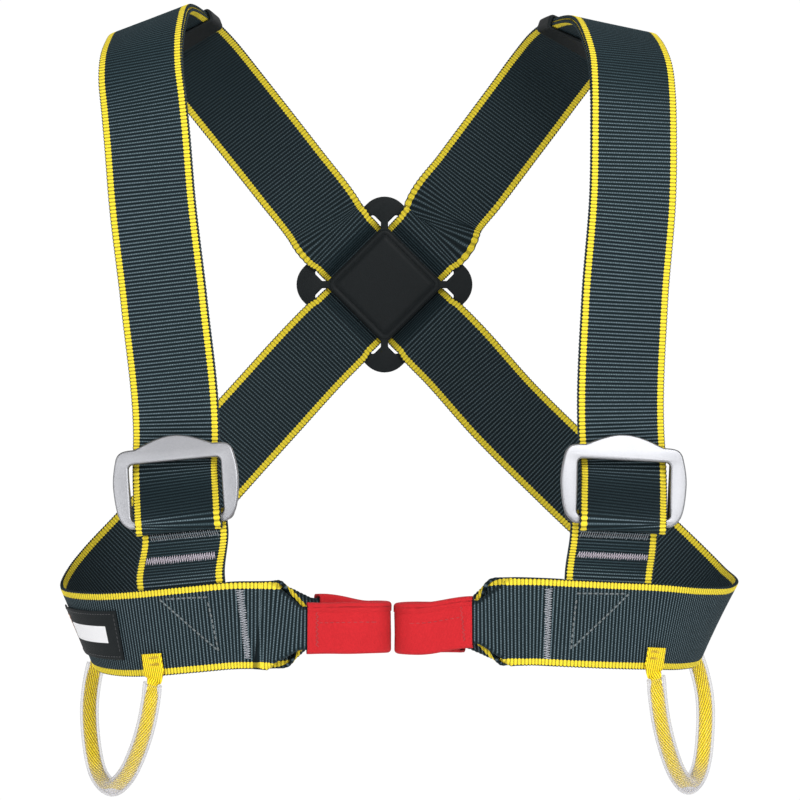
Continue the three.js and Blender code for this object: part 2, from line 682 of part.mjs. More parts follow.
// Outer frame: arched top bar, bulging sides and a plain bottom bar. The outline's right half goes
// from the top of the arch to the bottom bar, its places as shares of half the width and of the height.
function outerBuckleShape() {
  const half = buckleWidth / 2;
  const low = -bottomBar / 2;
  const top = bottomBar / 2 + windowHeight;
  const shoulder = top + topBar;
  const height = shoulder - low;
  const outline = [
    [[0.25, 1, 1], [0.5, 1.04, 0], [0.62, 1, 0]],
    [[0.78, 1, 0], [0.9, 1, 0], [0.94, 0.88, 0]],
    [[0.99, 0.72, 0], [1, 0.63, 0], [1, 0.54, 0]],
    [[0.985, 0.26, 0], [0.94, 0.13, 0], [0.87, 0.07, 0]],
    [[0.82, 0.03, 0], [0.78, 0, 0], [0.72, 0, 0]],
  ];
  const place = ([x, y, arch], sign) => [sign * x * half, low + y * height + arch * archHeight];
  const shape = new THREE.Shape();
  shape.moveTo(0, shoulder + archHeight);
  for (const bend of outline) {
    shape.bezierCurveTo(...bend.flatMap((point) => place(point, 1)));
  }
  shape.lineTo(...place([0.72, 0, 0], -1));
  for (let i = outline.length - 1; i >= 0; i -= 1) {
    const start = i > 0 ? outline[i - 1][2] : [0, 1, 1];
    const [first, second] = outline[i];
    shape.bezierCurveTo(...place(second, -1), ...place(first, -1), ...place(start, -1));
  }
  shape.holes.push(roundedRectangle(new THREE.Path(), windowWidth, -low, top, windowCorner));
  return shape;
}

function roundedRectangle(target, width, low, high, corner) {
  const half = width / 2;
  target.moveTo(-half + corner, low);
  target.lineTo(half - corner, low);
  target.absarc(half - corner, low + corner, corner, -Math.PI / 2, 0, false);
  target.lineTo(half, high - corner);
  target.absarc(half - corner, high - corner, corner, 0, Math.PI / 2, false);
  target.lineTo(-half + corner, high);
  target.absarc(-half + corner, high - corner, corner, Math.PI / 2, Math.PI, false);
  target.lineTo(-half, low + corner);
  target.absarc(-half + corner, low + corner, corner, Math.PI, 1.5 * Math.PI, false);
  return target;
}

function innerBuckleShape() {
  const low = -innerBar / 2;
  const shape = roundedRectangle(new THREE.Shape(), innerWidth, low, low + innerHeight, innerCorner);
  const hole = roundedRectangle(
    new THREE.Path(), innerWidth - 2 * innerLeg, low + innerBar, low + innerHeight - innerBar, innerCorner / 5,
  );
  shape.holes.push(hole);
  return shape;
}

// A plate of a shape, its middle at the seat's bottom bar and its top leaning back to the chest
function addBucklePlate(name, shape, thick, finish, seat, shift, depth, lean, mirror) {
  const settings = { depth: thick, bevelEnabled: false, curveSegments: 5 };
  const geometry = new THREE.ExtrudeGeometry(shape, settings);
  geometry.translate(0, 0, -thick / 2);
  geometry.rotateX(-lean);
  geometry.applyMatrix4(new THREE.Matrix4().makeBasis(seat.inward, seat.upward, seat.outward));
  const place = seatPoint(seat, shift, 0, depth);
  geometry.translate(place.x, place.y, place.z);
  const merged = mergeVertices(geometry.deleteAttribute('normal').deleteAttribute('uv'), 1e-4);
  const points = [];
  for (let i = 0; i < merged.attributes.position.count; i += 1) {
    points.push(new THREE.Vector3().fromBufferAttribute(merged.attributes.position, i));
  }
  const faces = [];
  for (let i = 0; i < merged.index.count; i += 3) {
    faces.push([0, 1, 2].map((k) => merged.index.getX(i + k)));
  }
  addPiece(name, { points, faces }, finish, mirror);
}

function addBuckles(side, seat, shift) {
  const lean = Math.atan2(outerTopY - outerBarY, innerHeight - innerBar / 2);
  const { mirror, shoulder } = side;
  addBucklePlate(
    `buckle_outer_${shoulder}`, outerBuckleShape(), buckleThick, 'steel', seat, 0, outerBarY, lean, mirror,
  );
  addBucklePlate(
    `buckle_inner_${shoulder}`, innerBuckleShape(), innerThick, 'darkSteel', seat, shift, innerBarY, 0, mirror,
  );
}

// Stub strap: two layers behind the band, looped over the inner frame's bottom bar
function addStub(side, band, seat) {
  const { mirror, stub } = side;
  const flip = (point) => vector(-point.x, point.y, point.z);
  const columns = stubAcross.map((a) => frameAt(band, findX(band, stub.x * halfWidth + a)));
  const top = webWidth / 2 + stubBend / 2;
  const place = (height, lift, flatDepth) => stubAcross.map((a, i) => {
    const frame = columns[i];
    const onBand = along(frame.point, [frame.across, -height], [frame.normal, -lift]);
    const flat = flip(seatPoint(seat, stub.shift - a, height - buckleHeightOverBand, flatDepth));
    const share = smooth((height - top) / (buckleHeightOverBand - stubBend - top));
    return onBand.lerp(flat, share);
  });
  const heights = [0, 0.25, 0.5, 0.75, 1];
  const rear = heights.map((h) => -stubEnd.rear + h * (webWidth / 2 + stubEnd.rear));
  const front = heights.map((h) => -stubEnd.front + h * (webWidth / 2 + stubEnd.front));
  const free = [0.2, 0.4, 0.6, 0.8, 1].map((h) => webWidth / 2 + h * (buckleHeightOverBand - webWidth / 2 - 1));
  const arc = [0, 30, 60, 90, 120, 150, 180].map((angle) => stubAcross.map((a) => flip(seatPoint(
    seat, stub.shift - a, innerLoop * Math.sin(angle * degrees), innerBarY + innerLoop * Math.cos(angle * degrees),
  ))));
  const grid = [
    ...[...rear, ...free].map((h) => place(h, 2 * layer + gap, innerBarY + innerLoop)),
    ...arc,
    ...[...free].reverse().map((h) => place(h, layer + gap, innerBarY - innerLoop)),
    ...[...front].reverse().map((h) => place(h, layer + gap, innerBarY - innerLoop)),
  ];
  addPiece(`stub_strap_${side.end}`, slab(grid, webThick), 'cloth', mirror);
}

// Gear loop: a narrow webbing with a tab at each end on the band, in a clear tube
function addGearLoop(side, band) {
  const { mirror, end, gear } = side;
  const frontAt = findX(band, gear.place);
  const lift = webThick / 2 + 2.5 * gap + cordThick / 2;
  const edge = webWidth / 2;
  const tab = (at, down) => {
    const frame = frameAt(band, at);
    return { frame, point: along(frame.point, [frame.across, down], [frame.normal, lift]) };
  };
  const frontTab = tab(frontAt, edge + tabTurn);
  const rearTab = tab(frontAt - gearSpan, edge + tabTurn);
  const chord = rearTab.point.clone().sub(frontTab.point);
  const outward = vector(chord.y, -chord.x, 0).normalize();
  if (outward.x < 0) {
    outward.negate();
  }
  const tabRows = [edge - tabHeight, edge - tabHeight / 2, edge - tabTurn, edge + tabTurn];
  const tabStations = (at) => tabRows.map((down) => {
    const { frame, point } = tab(at, down);
    return station(point, frame.tangent, down < edge ? tabWidth : 0.75 * tabWidth, cordThick);
  });
  const hanging = gearLine.map((row) => {
    const point = frontTab.point.clone().lerp(rearTab.point, row.along).addScaledVector(outward, row.out * gear.out);
    point.z -= row.drop * gear.drop;
    return station(point, outward.clone().negate(), cordWidth, cordThick);
  });
  const rearStations = tabStations(frontAt - gearSpan).reverse();
  rearStations.forEach((s) => s.across.negate());
  const run = makeRun([...tabStations(frontAt), ...hanging, ...rearStations]);
  const rings = chooseFrames(run.frames, [], 10, 10).map((frame) => boxRing(frame, frame.width, frame.thick));
  addPiece(`gear_webbing_${end}`, skin(rings), 'yellowCloth', mirror);

  const first = run.frames.find((frame) => frame.point.z < frontTab.point.z - tubeEnd);
  const last = [...run.frames].reverse().find((frame) => frame.point.z < rearTab.point.z - tubeEnd);
  const covered = chooseFrames(cut(run, first.at, last.at), [], 12, 30);
  const outer = covered.map((frame) => roundRing(frame, tubeOuter / 2, tubeSides));
  const inner = covered.map((frame) => roundRing(frame, tubeInner / 2, tubeSides));
  addPiece(`gear_tube_${end}`, skin(outer, inner), 'clearTube', mirror);
}

function addLabel(side, band) {
  const from = findX(band, labelPlace);
  const lift = webThick / 2 + 1.5 * gap + labelThick / 2;
  const grid = [];
  const steps = 12;
  for (let i = 0; i <= steps; i += 1) {
    const frame = frameAt(band, from - (i / steps) * labelLength);
    grid.push([-0.5, 0.5].map((a) => (
      along(frame.point, [frame.across, a * labelHeight], [frame.normal, lift])
    )));
  }
  addPiece('label_patch', slab(grid.reverse(), labelThick), 'labelCloth', side.mirror);
}

// Back plate: a rounded square on its corner, four slots, necks to its corners and a raised pad
function addPlate() {
  const quarter = Math.PI / 4;
  const block = (width, low, high, corner, depth) => {
    const shape = roundedRectangle(new THREE.Shape(), width, low, high, corner);
    return new THREE.ExtrudeGeometry(shape, { depth, bevelEnabled: false, curveSegments: 4 });
  };
  let plate = toSolid(block(2 * plateHalf, -plateHalf, plateHalf, plateCorner, plateThick));
  for (let i = 0; i < 4; i += 1) {
    const slot = block(webWidth + 2 * slotSlack, slotInner, slotOuter, slotWidth / 6, 3 * plateThick);
    slot.translate(0, 0, -plateThick);
    slot.rotateZ(i * 2 * quarter);
    plate = plate.subtract(toSolid(slot));
  }
  for (const turn of [quarter, -quarter]) {
    const reach = slotOuter * Math.SQRT2 + neckWidth / 2;
    const neck = block(neckWidth, -reach, reach, neckWidth / 4, plateThick);
    neck.rotateZ(turn);
    plate = plate.add(toSolid(neck));
  }
  plate = plate.add(toSolid(block(2 * padHalf, -padHalf, padHalf, padCorner, plateThick + padRise)));
  const geometry = fromSolid(plate);
  geometry.rotateZ(quarter);
  geometry.rotateX(quarter * 2);
  geometry.translate(plateMiddle.x * halfWidth, plateY + plateThick, plateMiddle.z * bandDrop);
  addPiece('back_plate', geometry, 'moulded');
}

const made = sides.map((side) => ({ side, ...makeWebbing(side) }));
made.forEach(({ side, band, seat }, i) => {
  addBuckles(side, seat, made[1 - i].side.stub.shift / 2);
  addStub(side, band, made[1 - i].seat);
  addGearLoop(side, band);
});
addLabel(made[1].side, made[1].band);
addPlate();

export default harness;
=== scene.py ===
"""Looks of the climbing chest harness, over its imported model.

Shapes are worked out in millimetres, as in the part's source, and become metres in the meshes.
+Z is up and the wearer faces -Y. Left and right are those of someone who looks at the chest.
"""

import math
from types import SimpleNamespace

import bpy
import numpy as np
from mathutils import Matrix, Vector


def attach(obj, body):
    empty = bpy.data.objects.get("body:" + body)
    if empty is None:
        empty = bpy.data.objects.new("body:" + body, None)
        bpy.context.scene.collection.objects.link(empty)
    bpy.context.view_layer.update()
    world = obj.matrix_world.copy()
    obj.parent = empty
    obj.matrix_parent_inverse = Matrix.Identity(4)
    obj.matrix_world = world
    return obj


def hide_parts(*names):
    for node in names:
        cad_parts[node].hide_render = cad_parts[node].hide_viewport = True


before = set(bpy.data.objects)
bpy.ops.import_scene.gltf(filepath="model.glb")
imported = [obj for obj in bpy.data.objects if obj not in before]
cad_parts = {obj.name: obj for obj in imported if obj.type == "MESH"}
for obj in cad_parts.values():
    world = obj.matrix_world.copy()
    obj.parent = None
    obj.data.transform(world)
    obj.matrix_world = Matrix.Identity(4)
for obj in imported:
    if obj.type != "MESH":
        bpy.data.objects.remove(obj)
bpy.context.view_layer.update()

# Sizes that the solids use too
HALF_WIDTH = 170.0
HALF_DEPTH = 88.5
BAND_DROP = 316.0
WEB_WIDTH = 45.0
WEB_THICK = 2.2
GAP = 0.3
LAYER = WEB_THICK + GAP
FOLDED_WIDTH = WEB_WIDTH / 2 + 0.5
FOLD_LENGTH = 24.0
LOOP_INSIDE = 9.0
SLEEVE_WALL = 1.2
SLEEVE_GAP = 1.0
LOOP_LAP = 11.0
SLEEVE_STEP = 6.0
REAR_LAYERS = 2.4
WINDOW_WIDTH = WEB_WIDTH + 3.2
BUCKLE_WIDTH = WINDOW_WIDTH + 17.2
WINDOW_HEIGHT = 29.5
WINDOW_CORNER = 2.5
TOP_BAR = 7.5
ARCH_HEIGHT = 6.0
BOTTOM_BAR = 4.0
BUCKLE_THICK = 3.2
INNER_LEG = 3.1
INNER_WIDTH = WEB_WIDTH + 11.4
INNER_HEIGHT = 38.5
INNER_BAR = 3.4
INNER_THICK = 3.0
INNER_CORNER = 5.0
BUCKLE_HEIGHT = 54.0
STUB_END = (17.0, 13.0)
STUB_BEND = 6.0
TAIL_BEND = 6.0
RISE_STRAIGHT = 8.0
RISE_SHIFT = 2.0
TAIL_JOIN = 14.0
PLATE_THICK = 3.0
PAD_RISE = 1.0
PAD_CORNER = 5.0
SLOT_INNER = WEB_WIDTH / 2 + 0.8
SLOT_OUTER = SLOT_INNER + 8.5
SLOT_LENGTH = WEB_WIDTH + 0.4
PLATE_HALF = SLOT_OUTER + 6.2
PAD_HALF = SLOT_INNER - 0.6
PLATE_CORNER = 13.5
NECK_WIDTH = 4.0
SLOT_SQUEEZE = 0.95
SLOT_LEAD = 0.5
SLOT_RUN = 3.0
KEEPER_LENGTH = 15.75
KEEPER_WALL = 1.5
KEEPER_PLACE = 31.4
TAIL_END = 10.6
CORD_WIDTH = 6.2
CORD_THICK = 1.4
TUBE_INNER = CORD_WIDTH + 1.4
TUBE_OUTER = TUBE_INNER + 2.4
TAB_WIDTH = 12.0
TAB_HEIGHT = 12.0
TAB_TURN = 1.0
TUBE_END = 2.2
GEAR_SPAN = 93.0
LABEL_LENGTH = 62.0
LABEL_HEIGHT = 26.0
LABEL_THICK = 1.0
LABEL_PLACE = 143.7

BAND_Y = -0.95 * HALF_DEPTH
INNER_LOOP = math.hypot(INNER_THICK, INNER_BAR) / 2 + GAP + WEB_THICK / 2
OUTER_LOOP = math.hypot(BUCKLE_THICK, BOTTOM_BAR) / 2 + GAP + WEB_THICK / 2
INNER_BAR_Y = BAND_Y + 2 * LAYER - INNER_LOOP
TAIL_FRONT_Y = INNER_BAR_Y - INNER_LOOP - LAYER
OUTER_BAR_Y = TAIL_FRONT_Y - OUTER_LOOP
BEHIND_INNER_Y = INNER_BAR_Y + INNER_THICK / 2 + 2 * GAP + WEB_THICK / 2
OUTER_TOP_Y = INNER_BAR_Y - INNER_THICK / 2 - 2 * GAP - BUCKLE_THICK / 2
PLATE_Y = HALF_DEPTH - 0.5

# Middle line of each webbing in the left shoulder's sense: x, y and z as shares of half the width,
# half the depth and the band's drop, then the lean and swing of its upper edge in degrees
LEFT_FRONT = [
    (-0.712, -0.927, -0.475, 0, 8),
    (-0.748, -0.932, -0.31, 0, 8),
    (-0.765, -0.898, -0.203, 2, 9),
    (-0.776, -0.842, -0.149, 5, 10),
    (-0.787, -0.763, -0.103, 8, 11),
    (-0.789, -0.655, -0.062, 12, 12),
    (-0.782, -0.492, -0.028, 16, 13),
    (-0.767, -0.215, -0.002, 20, 14),
    (-0.704, 0.147, -0.021, 27, 12),
    (-0.631, 0.395, -0.06, 33, 7),
    (-0.541, 0.621, -0.119, 37, 3),
    (-0.447, 0.78, -0.182, 39, 0),
    (-0.353, 0.893, -0.246, 40, 0),
    (-0.253, 0.955, -0.315, 42, 0),
]
LEFT_BACK = [
    (0.165, 0.966, -0.549, 44, 0),
    (0.332, 0.915, -0.65, 43, 0),
    (0.528, 0.802, -0.755, 45, 0),
    (0.731, 0.644, -0.86, 50, 0),
    (0.869, 0.475, -0.932, 56, 0),
    (0.944, 0.316, -0.973, 59, 0),
    (0.986, 0.09, -0.994, 62, 0),
    (0.965, -0.2, -1.008, 66, 0),
    (0.888, -0.475, -1.009, 71, 0),
    (0.774, -0.734, -1.003, 77, 0),
    (0.641, -0.864, -0.999, 83, 0),
    (0.512, -0.932, -0.995, 88, 0),
    (0.4, -0.95, -0.992, 90, 0),
]
RIGHT_FRONT = [
    (-0.678, -0.927, -0.475, 0, 8),
    (-0.703, -0.932, -0.294, 0, 8),
    (-0.706, -0.898, -0.195, 1, 9),
    (-0.706, -0.831, -0.133, 3, 11),
    (-0.701, -0.706, -0.081, 5, 13),
    (-0.686, -0.559, -0.046, 7, 14),
    (-0.671, -0.407, -0.024, 9, 15),
    (-0.656, -0.215, -0.012, 11, 15),
    (-0.593, 0.09, -0.021, 20, 13),
    (-0.529, 0.339, -0.043, 28, 8),
    (-0.469, 0.576, -0.08, 33, 4),
    (-0.407, 0.718, -0.124, 36, 1),
    (-0.314, 0.847, -0.19, 37, 0),
    (-0.223, 0.921, -0.255, 39, 0),
    (-0.141, 0.96, -0.313, 42, 0),
]
RIGHT_BACK = [
    (0.254, 0.972, -0.543, 44, 0),
    (0.427, 0.915, -0.645, 43, 0),
    (0.598, 0.802, -0.748, 44, 0),
    (0.799, 0.633, -0.871, 51, 0),
    (0.911, 0.475, -0.936, 59, 0),
    (0.966, 0.316, -0.972, 64, 0),
    (0.997, 0.102, -1.003, 66, 0),
    (0.984, -0.2, -1.014, 68, 0),
    (0.891, -0.52, -1.018, 72, 0),
    (0.758, -0.757, -1.013, 78, 0),
    (0.624, -0.876, -1.005, 85, 0),
    (0.482, -0.938, -0.998, 90, 0),
    (0.42, -0.95, -0.998, 90, 0),
]
PLATE_MIDDLE = (-0.05, -0.433)
LOOP_MIDDLE = -0.022
GEAR_LINE = [
    (0.005, 0.03, 0.1),
    (0.03, 0.16, 0.15),
    (0.1, 0.38, 0.2),
    (0.23, 0.65, 0.35),
    (0.4, 0.88, 0.55),
    (0.59, 1, 0.75),
    (0.8, 0.92, 0.95),
    (0.915, 0.66, 1),
    (0.975, 0.33, 0.8),
    (0.995, 0.16, 0.45),
    (1, 0.03, 0.1),
]

# Rib pitch of the webbing, the parts that each rib is drawn in, and the depth of the valleys
RIB = 1.89
RIB_PARTS = 4
RIB_DEPTH = 0.42
# A millimetre in the uvs and in the meshes
UV_SCALE = 0.01
MM = 0.001

# Columns of flat webbing: place across and share of the full thickness, so that its edges are round
FLAT_U = np.array((-22.5, -22.05, -20.9, -9, 0, 9, 20.9, 22.05, 22.5))
FLAT_FULL = np.array((0.42, 0.86, 1, 1, 1, 1, 1, 0.86, 0.42))

# A sewn thread's places along it, with the shares of its radius and of its height over the cloth
THREAD_PROFILE = [(0.0, 0.45, -0.5), (0.12, 0.8, 0.15), (0.5, 1.0, 1.0), (0.88, 0.8, 0.15), (1.0, 0.45, -0.5)]
THREAD_LIFT = 0.35
THREAD_SIDES = 6

# The two webbings, named by the shoulder that each crosses and the side of the chest where it ends.
# Stitched marks on the band's front are x and z in millimetres: the ends of the bartack ("tack") and
# the corners of the triangle.
SIDES = [
    SimpleNamespace(
        shoulder="left", end="right", mirror=1, order=1, front=LEFT_FRONT, back=LEFT_BACK,
        buckle=(-0.6655, 5.5, 8), stub_x=0.625, stub_shift=4, sink=0.012, front_rise=0.011,
        rear_rise=0.001, cover=41.0, gear_place=132.3, gear_drop=66.3, gear_out=9.0,
        tack=((75.2, -296.5), (76.0, -332.5)),
        triangle=((89.5, -299.0), (116.0, -299.5), (88.0, -327.5)),
    ),
    SimpleNamespace(
        shoulder="right", end="left", mirror=-1, order=0, front=RIGHT_FRONT, back=RIGHT_BACK,
        buckle=(-0.669, 3, 8), stub_x=0.655, stub_shift=2.5, sink=0.004, front_rise=-0.001,
        rear_rise=0.011, cover=44.0, gear_place=128.0, gear_drop=63.0, gear_out=6.3,
        tack=((81.6, -297.2), (77.9, -332.5)),
        triangle=((97.0, -301.0), (121.0, -302.5), (94.0, -328.5)),
    ),
]


def unit(vectors):
    return vectors / np.maximum(np.linalg.norm(vectors, axis=-1, keepdims=True), 1e-9)


def smooth(value):
    share = np.clip(value, 0, 1)
    return share * share * (3 - 2 * share)


def along_line(points):
    """Distance of each point from the first, along the line through them."""
    return np.concatenate([(0.0,), np.cumsum(np.linalg.norm(np.diff(points, axis=0), axis=1))])


def edge_direction(lean, swing):
    """Direction towards a webbing's lower or outer edge."""
    a, b = math.radians(lean), math.radians(swing)
    return np.array((-math.cos(a) * math.cos(b), math.sin(b), -math.sin(a) * math.cos(b)))


def station(point, across, width=WEB_WIDTH, thick=WEB_THICK):
    return np.concatenate([point, unit(np.asarray(across, float)), (width, thick)])


def from_row(row):
    x, y, z, lean, swing = row
    return station((x * HALF_WIDTH, y * HALF_DEPTH, z * BAND_DROP), edge_direction(lean, swing))


class Run:
    """A line with its directions: tangent, across and the outward normal at each place."""

    def __init__(self, point, across, width, thick, normal=None):
        self.point = point
        self.width = width
        self.thick = thick
        self.at = along_line(point)
        self.length = self.at[-1]
        self.tangent = unit(np.vstack([point[1:], point[-1:]]) - np.vstack([point[:1], point[:-1]]))
        self.normal = unit(np.cross(self.tangent, across) if normal is None else normal)
        self.across = unit(np.cross(self.normal, self.tangent))

    @classmethod
    def through(cls, stations):
        """A smooth line through stations, with a place about every millimetre."""
        values = np.array(stations)
        spans = np.linalg.norm(np.diff(values[:, :3], axis=0), axis=1)
        slopes = np.diff(values, axis=0) / spans[:, None]
        middle = (slopes[:-1] * spans[1:, None] + slopes[1:] * spans[:-1, None]) / (
            spans[:-1] + spans[1:]
        )[:, None]
        slopes = np.vstack([slopes[:1], middle, slopes[-1:]])
        rows = []
        for i, span in enumerate(spans):
            steps = max(2, math.ceil(span))
            t = (np.arange(0 if i == 0 else 1, steps + 1) / steps)[:, None]
            rows.append(
                values[i] * (1 + 2 * t) * (1 - t) ** 2
                + slopes[i] * span * t * (1 - t) ** 2
                + values[i + 1] * t * t * (3 - 2 * t)
                + slopes[i + 1] * span * t * t * (t - 1)
            )
        mixed = np.vstack(rows)
        return cls(mixed[:, :3], mixed[:, 3:6], mixed[:, 6], mixed[:, 7])

    def sample(self, distances):
        """The same line at other distances along it."""
        distances = np.atleast_1d(distances)
        pick = lambda values: np.stack([np.interp(distances, self.at, v) for v in values.T], axis=1)
        made = object.__new__(Run)
        made.point = pick(self.point)
        made.tangent = unit(pick(self.tangent))
        made.normal = unit(pick(self.normal))
        made.across = unit(np.cross(made.normal, made.tangent))
        made.width = np.interp(distances, self.at, self.width)
        made.thick = np.interp(distances, self.at, self.thick)
        made.at = distances
        made.length = self.length
        return made

    def find_x(self, x):
        """Distance, searched from the end backwards, where the line reaches x."""
        values = self.point[:, 0]
        i = np.nonzero((values[:-1] - x) * (values[1:] - x) <= 0)[0][-1]
        return self.at[i] + (self.at[i + 1] - self.at[i]) * (x - values[i]) / (values[i + 1] - values[i])


def join_runs(parts):
    """One run from several in a row, with their own normals. Each part is (run, from, to)."""
    kept = [(p.point[a:b], p.across[a:b], p.width[a:b], p.thick[a:b], p.normal[a:b]) for p, a, b in parts]
    columns = [np.concatenate(values) for values in zip(*kept)]
    apart = np.concatenate([(True,), np.diff(along_line(columns[0])) > 0.05])
    return Run(*[values[apart] for values in columns])


# Meshes


def link(name, data):
    """A new object in the scene."""
    made = bpy.data.objects.new(name, data)
    bpy.context.scene.collection.objects.link(made)
    return made


def add_mesh(name, points, faces, material):
    """A smooth mesh object, from points in metres."""
    mesh = bpy.data.meshes.new(name)
    mesh.from_pydata(points, [], faces)
    mesh.polygons.foreach_set("use_smooth", [True] * len(mesh.polygons))
    mesh.materials.append(material)
    return link(name, mesh)


def piece(made, slot, *nodes):
    """The object rides on the part's body and may replace nodes. Its slot is not used."""
    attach(made, "root")
    if nodes:
        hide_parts(*nodes)


def ring_faces(rings, size, flip=False):
    """Quads between closed rings of points that follow each other in one list."""
    i = np.arange(rings - 1)[:, None] * size
    j = np.arange(size)[None, :]
    k = (j + 1) % size
    quads = np.stack([i + j, i + size + j, i + size + k, i + k], axis=-1).reshape(-1, 4)
    return quads[:, ::-1] if flip else quads


def cloth_uv(u, at):
    """Places across (u) and along (at) the cloth, for rows of points."""
    return np.stack(np.broadcast_arrays(u, at[:, None]), axis=-1)


class Body:
    """Points in millimetres, their places on the cloth and quads, gathered from several surfaces."""

    def __init__(self):
        self.points, self.uvs, self.faces, self.count = [], [], [], 0

    def add(self, points, uvs, faces):
        self.points.append(np.reshape(points, (-1, 3)))
        self.uvs.append(np.reshape(uvs, (-1, 2)))
        self.faces.append(np.asarray(faces) + self.count)
        self.count += len(self.points[-1])

    def make(self, side, name, material, slot, *nodes):
        """The piece itself, mirrored for the side with mirror -1."""
        points = np.vstack(self.points) * (MM * side.mirror, MM, MM)
        faces = np.vstack(self.faces)[:, :: side.mirror]
        made = add_mesh(name, points.tolist(), faces.tolist(), material)
        corners = np.zeros(len(made.data.loops), int)
        made.data.loops.foreach_get("vertex_index", corners)
        layer = made.data.uv_layers.new(name="Weave")
        layer.data.foreach_set("uv", (np.vstack(self.uvs)[corners] * UV_SCALE).ravel())
        piece(made, slot, *nodes)


def rib_places(start, stop):
    """Distances along a webbing with a few for each rib, and the height share of each, 0 in a valley."""
    step = RIB / RIB_PARTS
    at = np.arange(math.ceil(start / step), math.floor(stop / step) + 1) * step
    at = np.concatenate([(start,), at[(at > start + 0.1) & (at < stop - 0.1)], (stop,)])
    return at, 0.5 - 0.5 * np.cos(2 * math.pi * at / RIB)


def ribbon(body, centre, at, rib, u, full, thick=WEB_THICK, depth=RIB_DEPTH):
    """Ribbed webbing over a grid of places on its middle surface, with u across and at along it."""
    rows, columns = centre.shape[:2]
    normal = unit(np.cross(np.gradient(centre, axis=0), np.gradient(centre, axis=1)))
    high = 0.35 + 0.65 * np.sqrt(rib)
    half = normal * ((thick / 2 - depth * (1 - high[:, None])) * full)[..., None]
    rings = np.concatenate([centre + half, (centre - half)[:, ::-1]], axis=1)
    uv = cloth_uv(u, at)
    size = 2 * columns
    j = np.arange(columns - 1)
    end = np.stack([j, j + 1, size - 2 - j, size - 1 - j], axis=1)
    faces = [ring_faces(rows, size), end, (end + (rows - 1) * size)[:, ::-1]]
    body.add(rings, np.concatenate([uv, uv[:, ::-1]], axis=1), np.vstack(faces))


def webbing(body, run, start, stop):
    """Flat webbing along a run, its edges scalloped by the ribs."""
    at, rib = rib_places(start, stop)
    s = run.sample(at)
    out = np.abs(FLAT_U)
    scallop = 0.34 * np.sign(FLAT_U) * np.where(out > 22.2, 1.0, 0.3) * (out > 21.5)
    a = FLAT_U * (s.width / WEB_WIDTH)[:, None] - scallop * (1 - rib[:, None])
    centre = s.point[:, None] + s.across[:, None] * a[..., None]
    ribbon(body, centre, at, rib, FLAT_U, FLAT_FULL)


def fold_columns(half_width):
    """Cross-section of webbing whose two edges fold back behind it. Returns for each column the place
    across, the depth behind the front layer and the place on the flat webbing."""
    radius = (WEB_THICK + 0.2) / 2
    share = float(smooth((WEB_WIDTH / 2 - half_width) / 4))
    angle = max(math.pi * share, 1e-4)
    start = (1 - share) * 21.0 + share * (half_width - radius - WEB_THICK / 2)
    bend = (1 - share) * 1.0 + share * math.pi * radius
    rest = max(0.35, WEB_WIDTH / 2 - start - bend)
    if start - rest < 0.3 and share > 0.9:
        rest = start - 0.3
    r = bend / angle
    rows = [(start / 2, 0.0, start / 2)]
    for t in np.arange(6) / 5:
        rows.append((start + r * math.sin(angle * t), r * (1 - math.cos(angle * t)), start + bend * t))
    a, n, _ = rows[-1]
    for t in (0.45, 0.8, 1.0):
        rows.append((a + rest * t * math.cos(angle), n + rest * t * math.sin(angle),
                     start + bend + (WEB_WIDTH / 2 - start - bend) * t))
    return rows


def folded_webbing(body, run, start, stop):
    """Webbing along a run that narrows by folding its two edges to the inside."""
    at, rib = rib_places(start, stop)
    s = run.sample(at)
    centre, us = [], []
    for i in range(len(at)):
        rows = fold_columns(s.width[i] / 2)
        base = s.point[i] + s.normal[i] * (s.thick[i] - WEB_THICK) / 2
        columns = [(-a, n, -u) for a, n, u in reversed(rows)] + [(0.0, 0.0, 0.0)] + rows
        centre.append([base + s.across[i] * a - s.normal[i] * n for a, n, _ in columns])
        us.append([u for _, _, u in columns])
    full = np.ones(len(us[0]))
    full[[0, -1]], full[[1, -2]] = FLAT_FULL[:2]
    ribbon(body, np.array(centre), at, rib, np.array(us), full)


def tube(body, outer, inner, u, at):
    """A tube with an open bore over rings of points, its two ends closed between the walls."""
    rows, size = outer.shape[:2]
    uv = cloth_uv(u, at)
    points = np.concatenate([outer, inner[::-1], outer[:1]])
    body.add(points, np.concatenate([uv, uv[::-1], uv[:1]]), ring_faces(2 * rows + 1, size))


def box_section(width, thick, corner, steps, extra):
    """A rounded rectangle's points as (across, normal), and the distance round it. extra holds more
    places across on its two long sides."""
    corners = []
    for x, z, turn in ((1, 1, 0), (1, -1, 1), (-1, -1, 2), (-1, 1, 3)):
        angle = math.pi / 2 * (1 - np.arange(steps + 1) / steps - turn)
        middle = (x * (width / 2 - corner), z * (thick / 2 - corner))
        corners.append(middle + corner * np.stack([np.cos(angle), np.sin(angle)], axis=1))
    upper = np.stack([extra, np.full(len(extra), thick / 2)], axis=1)
    ring = np.vstack([upper, *corners[:2], upper[::-1] * (1, -1), *corners[2:]])
    return ring, along_line(ring)


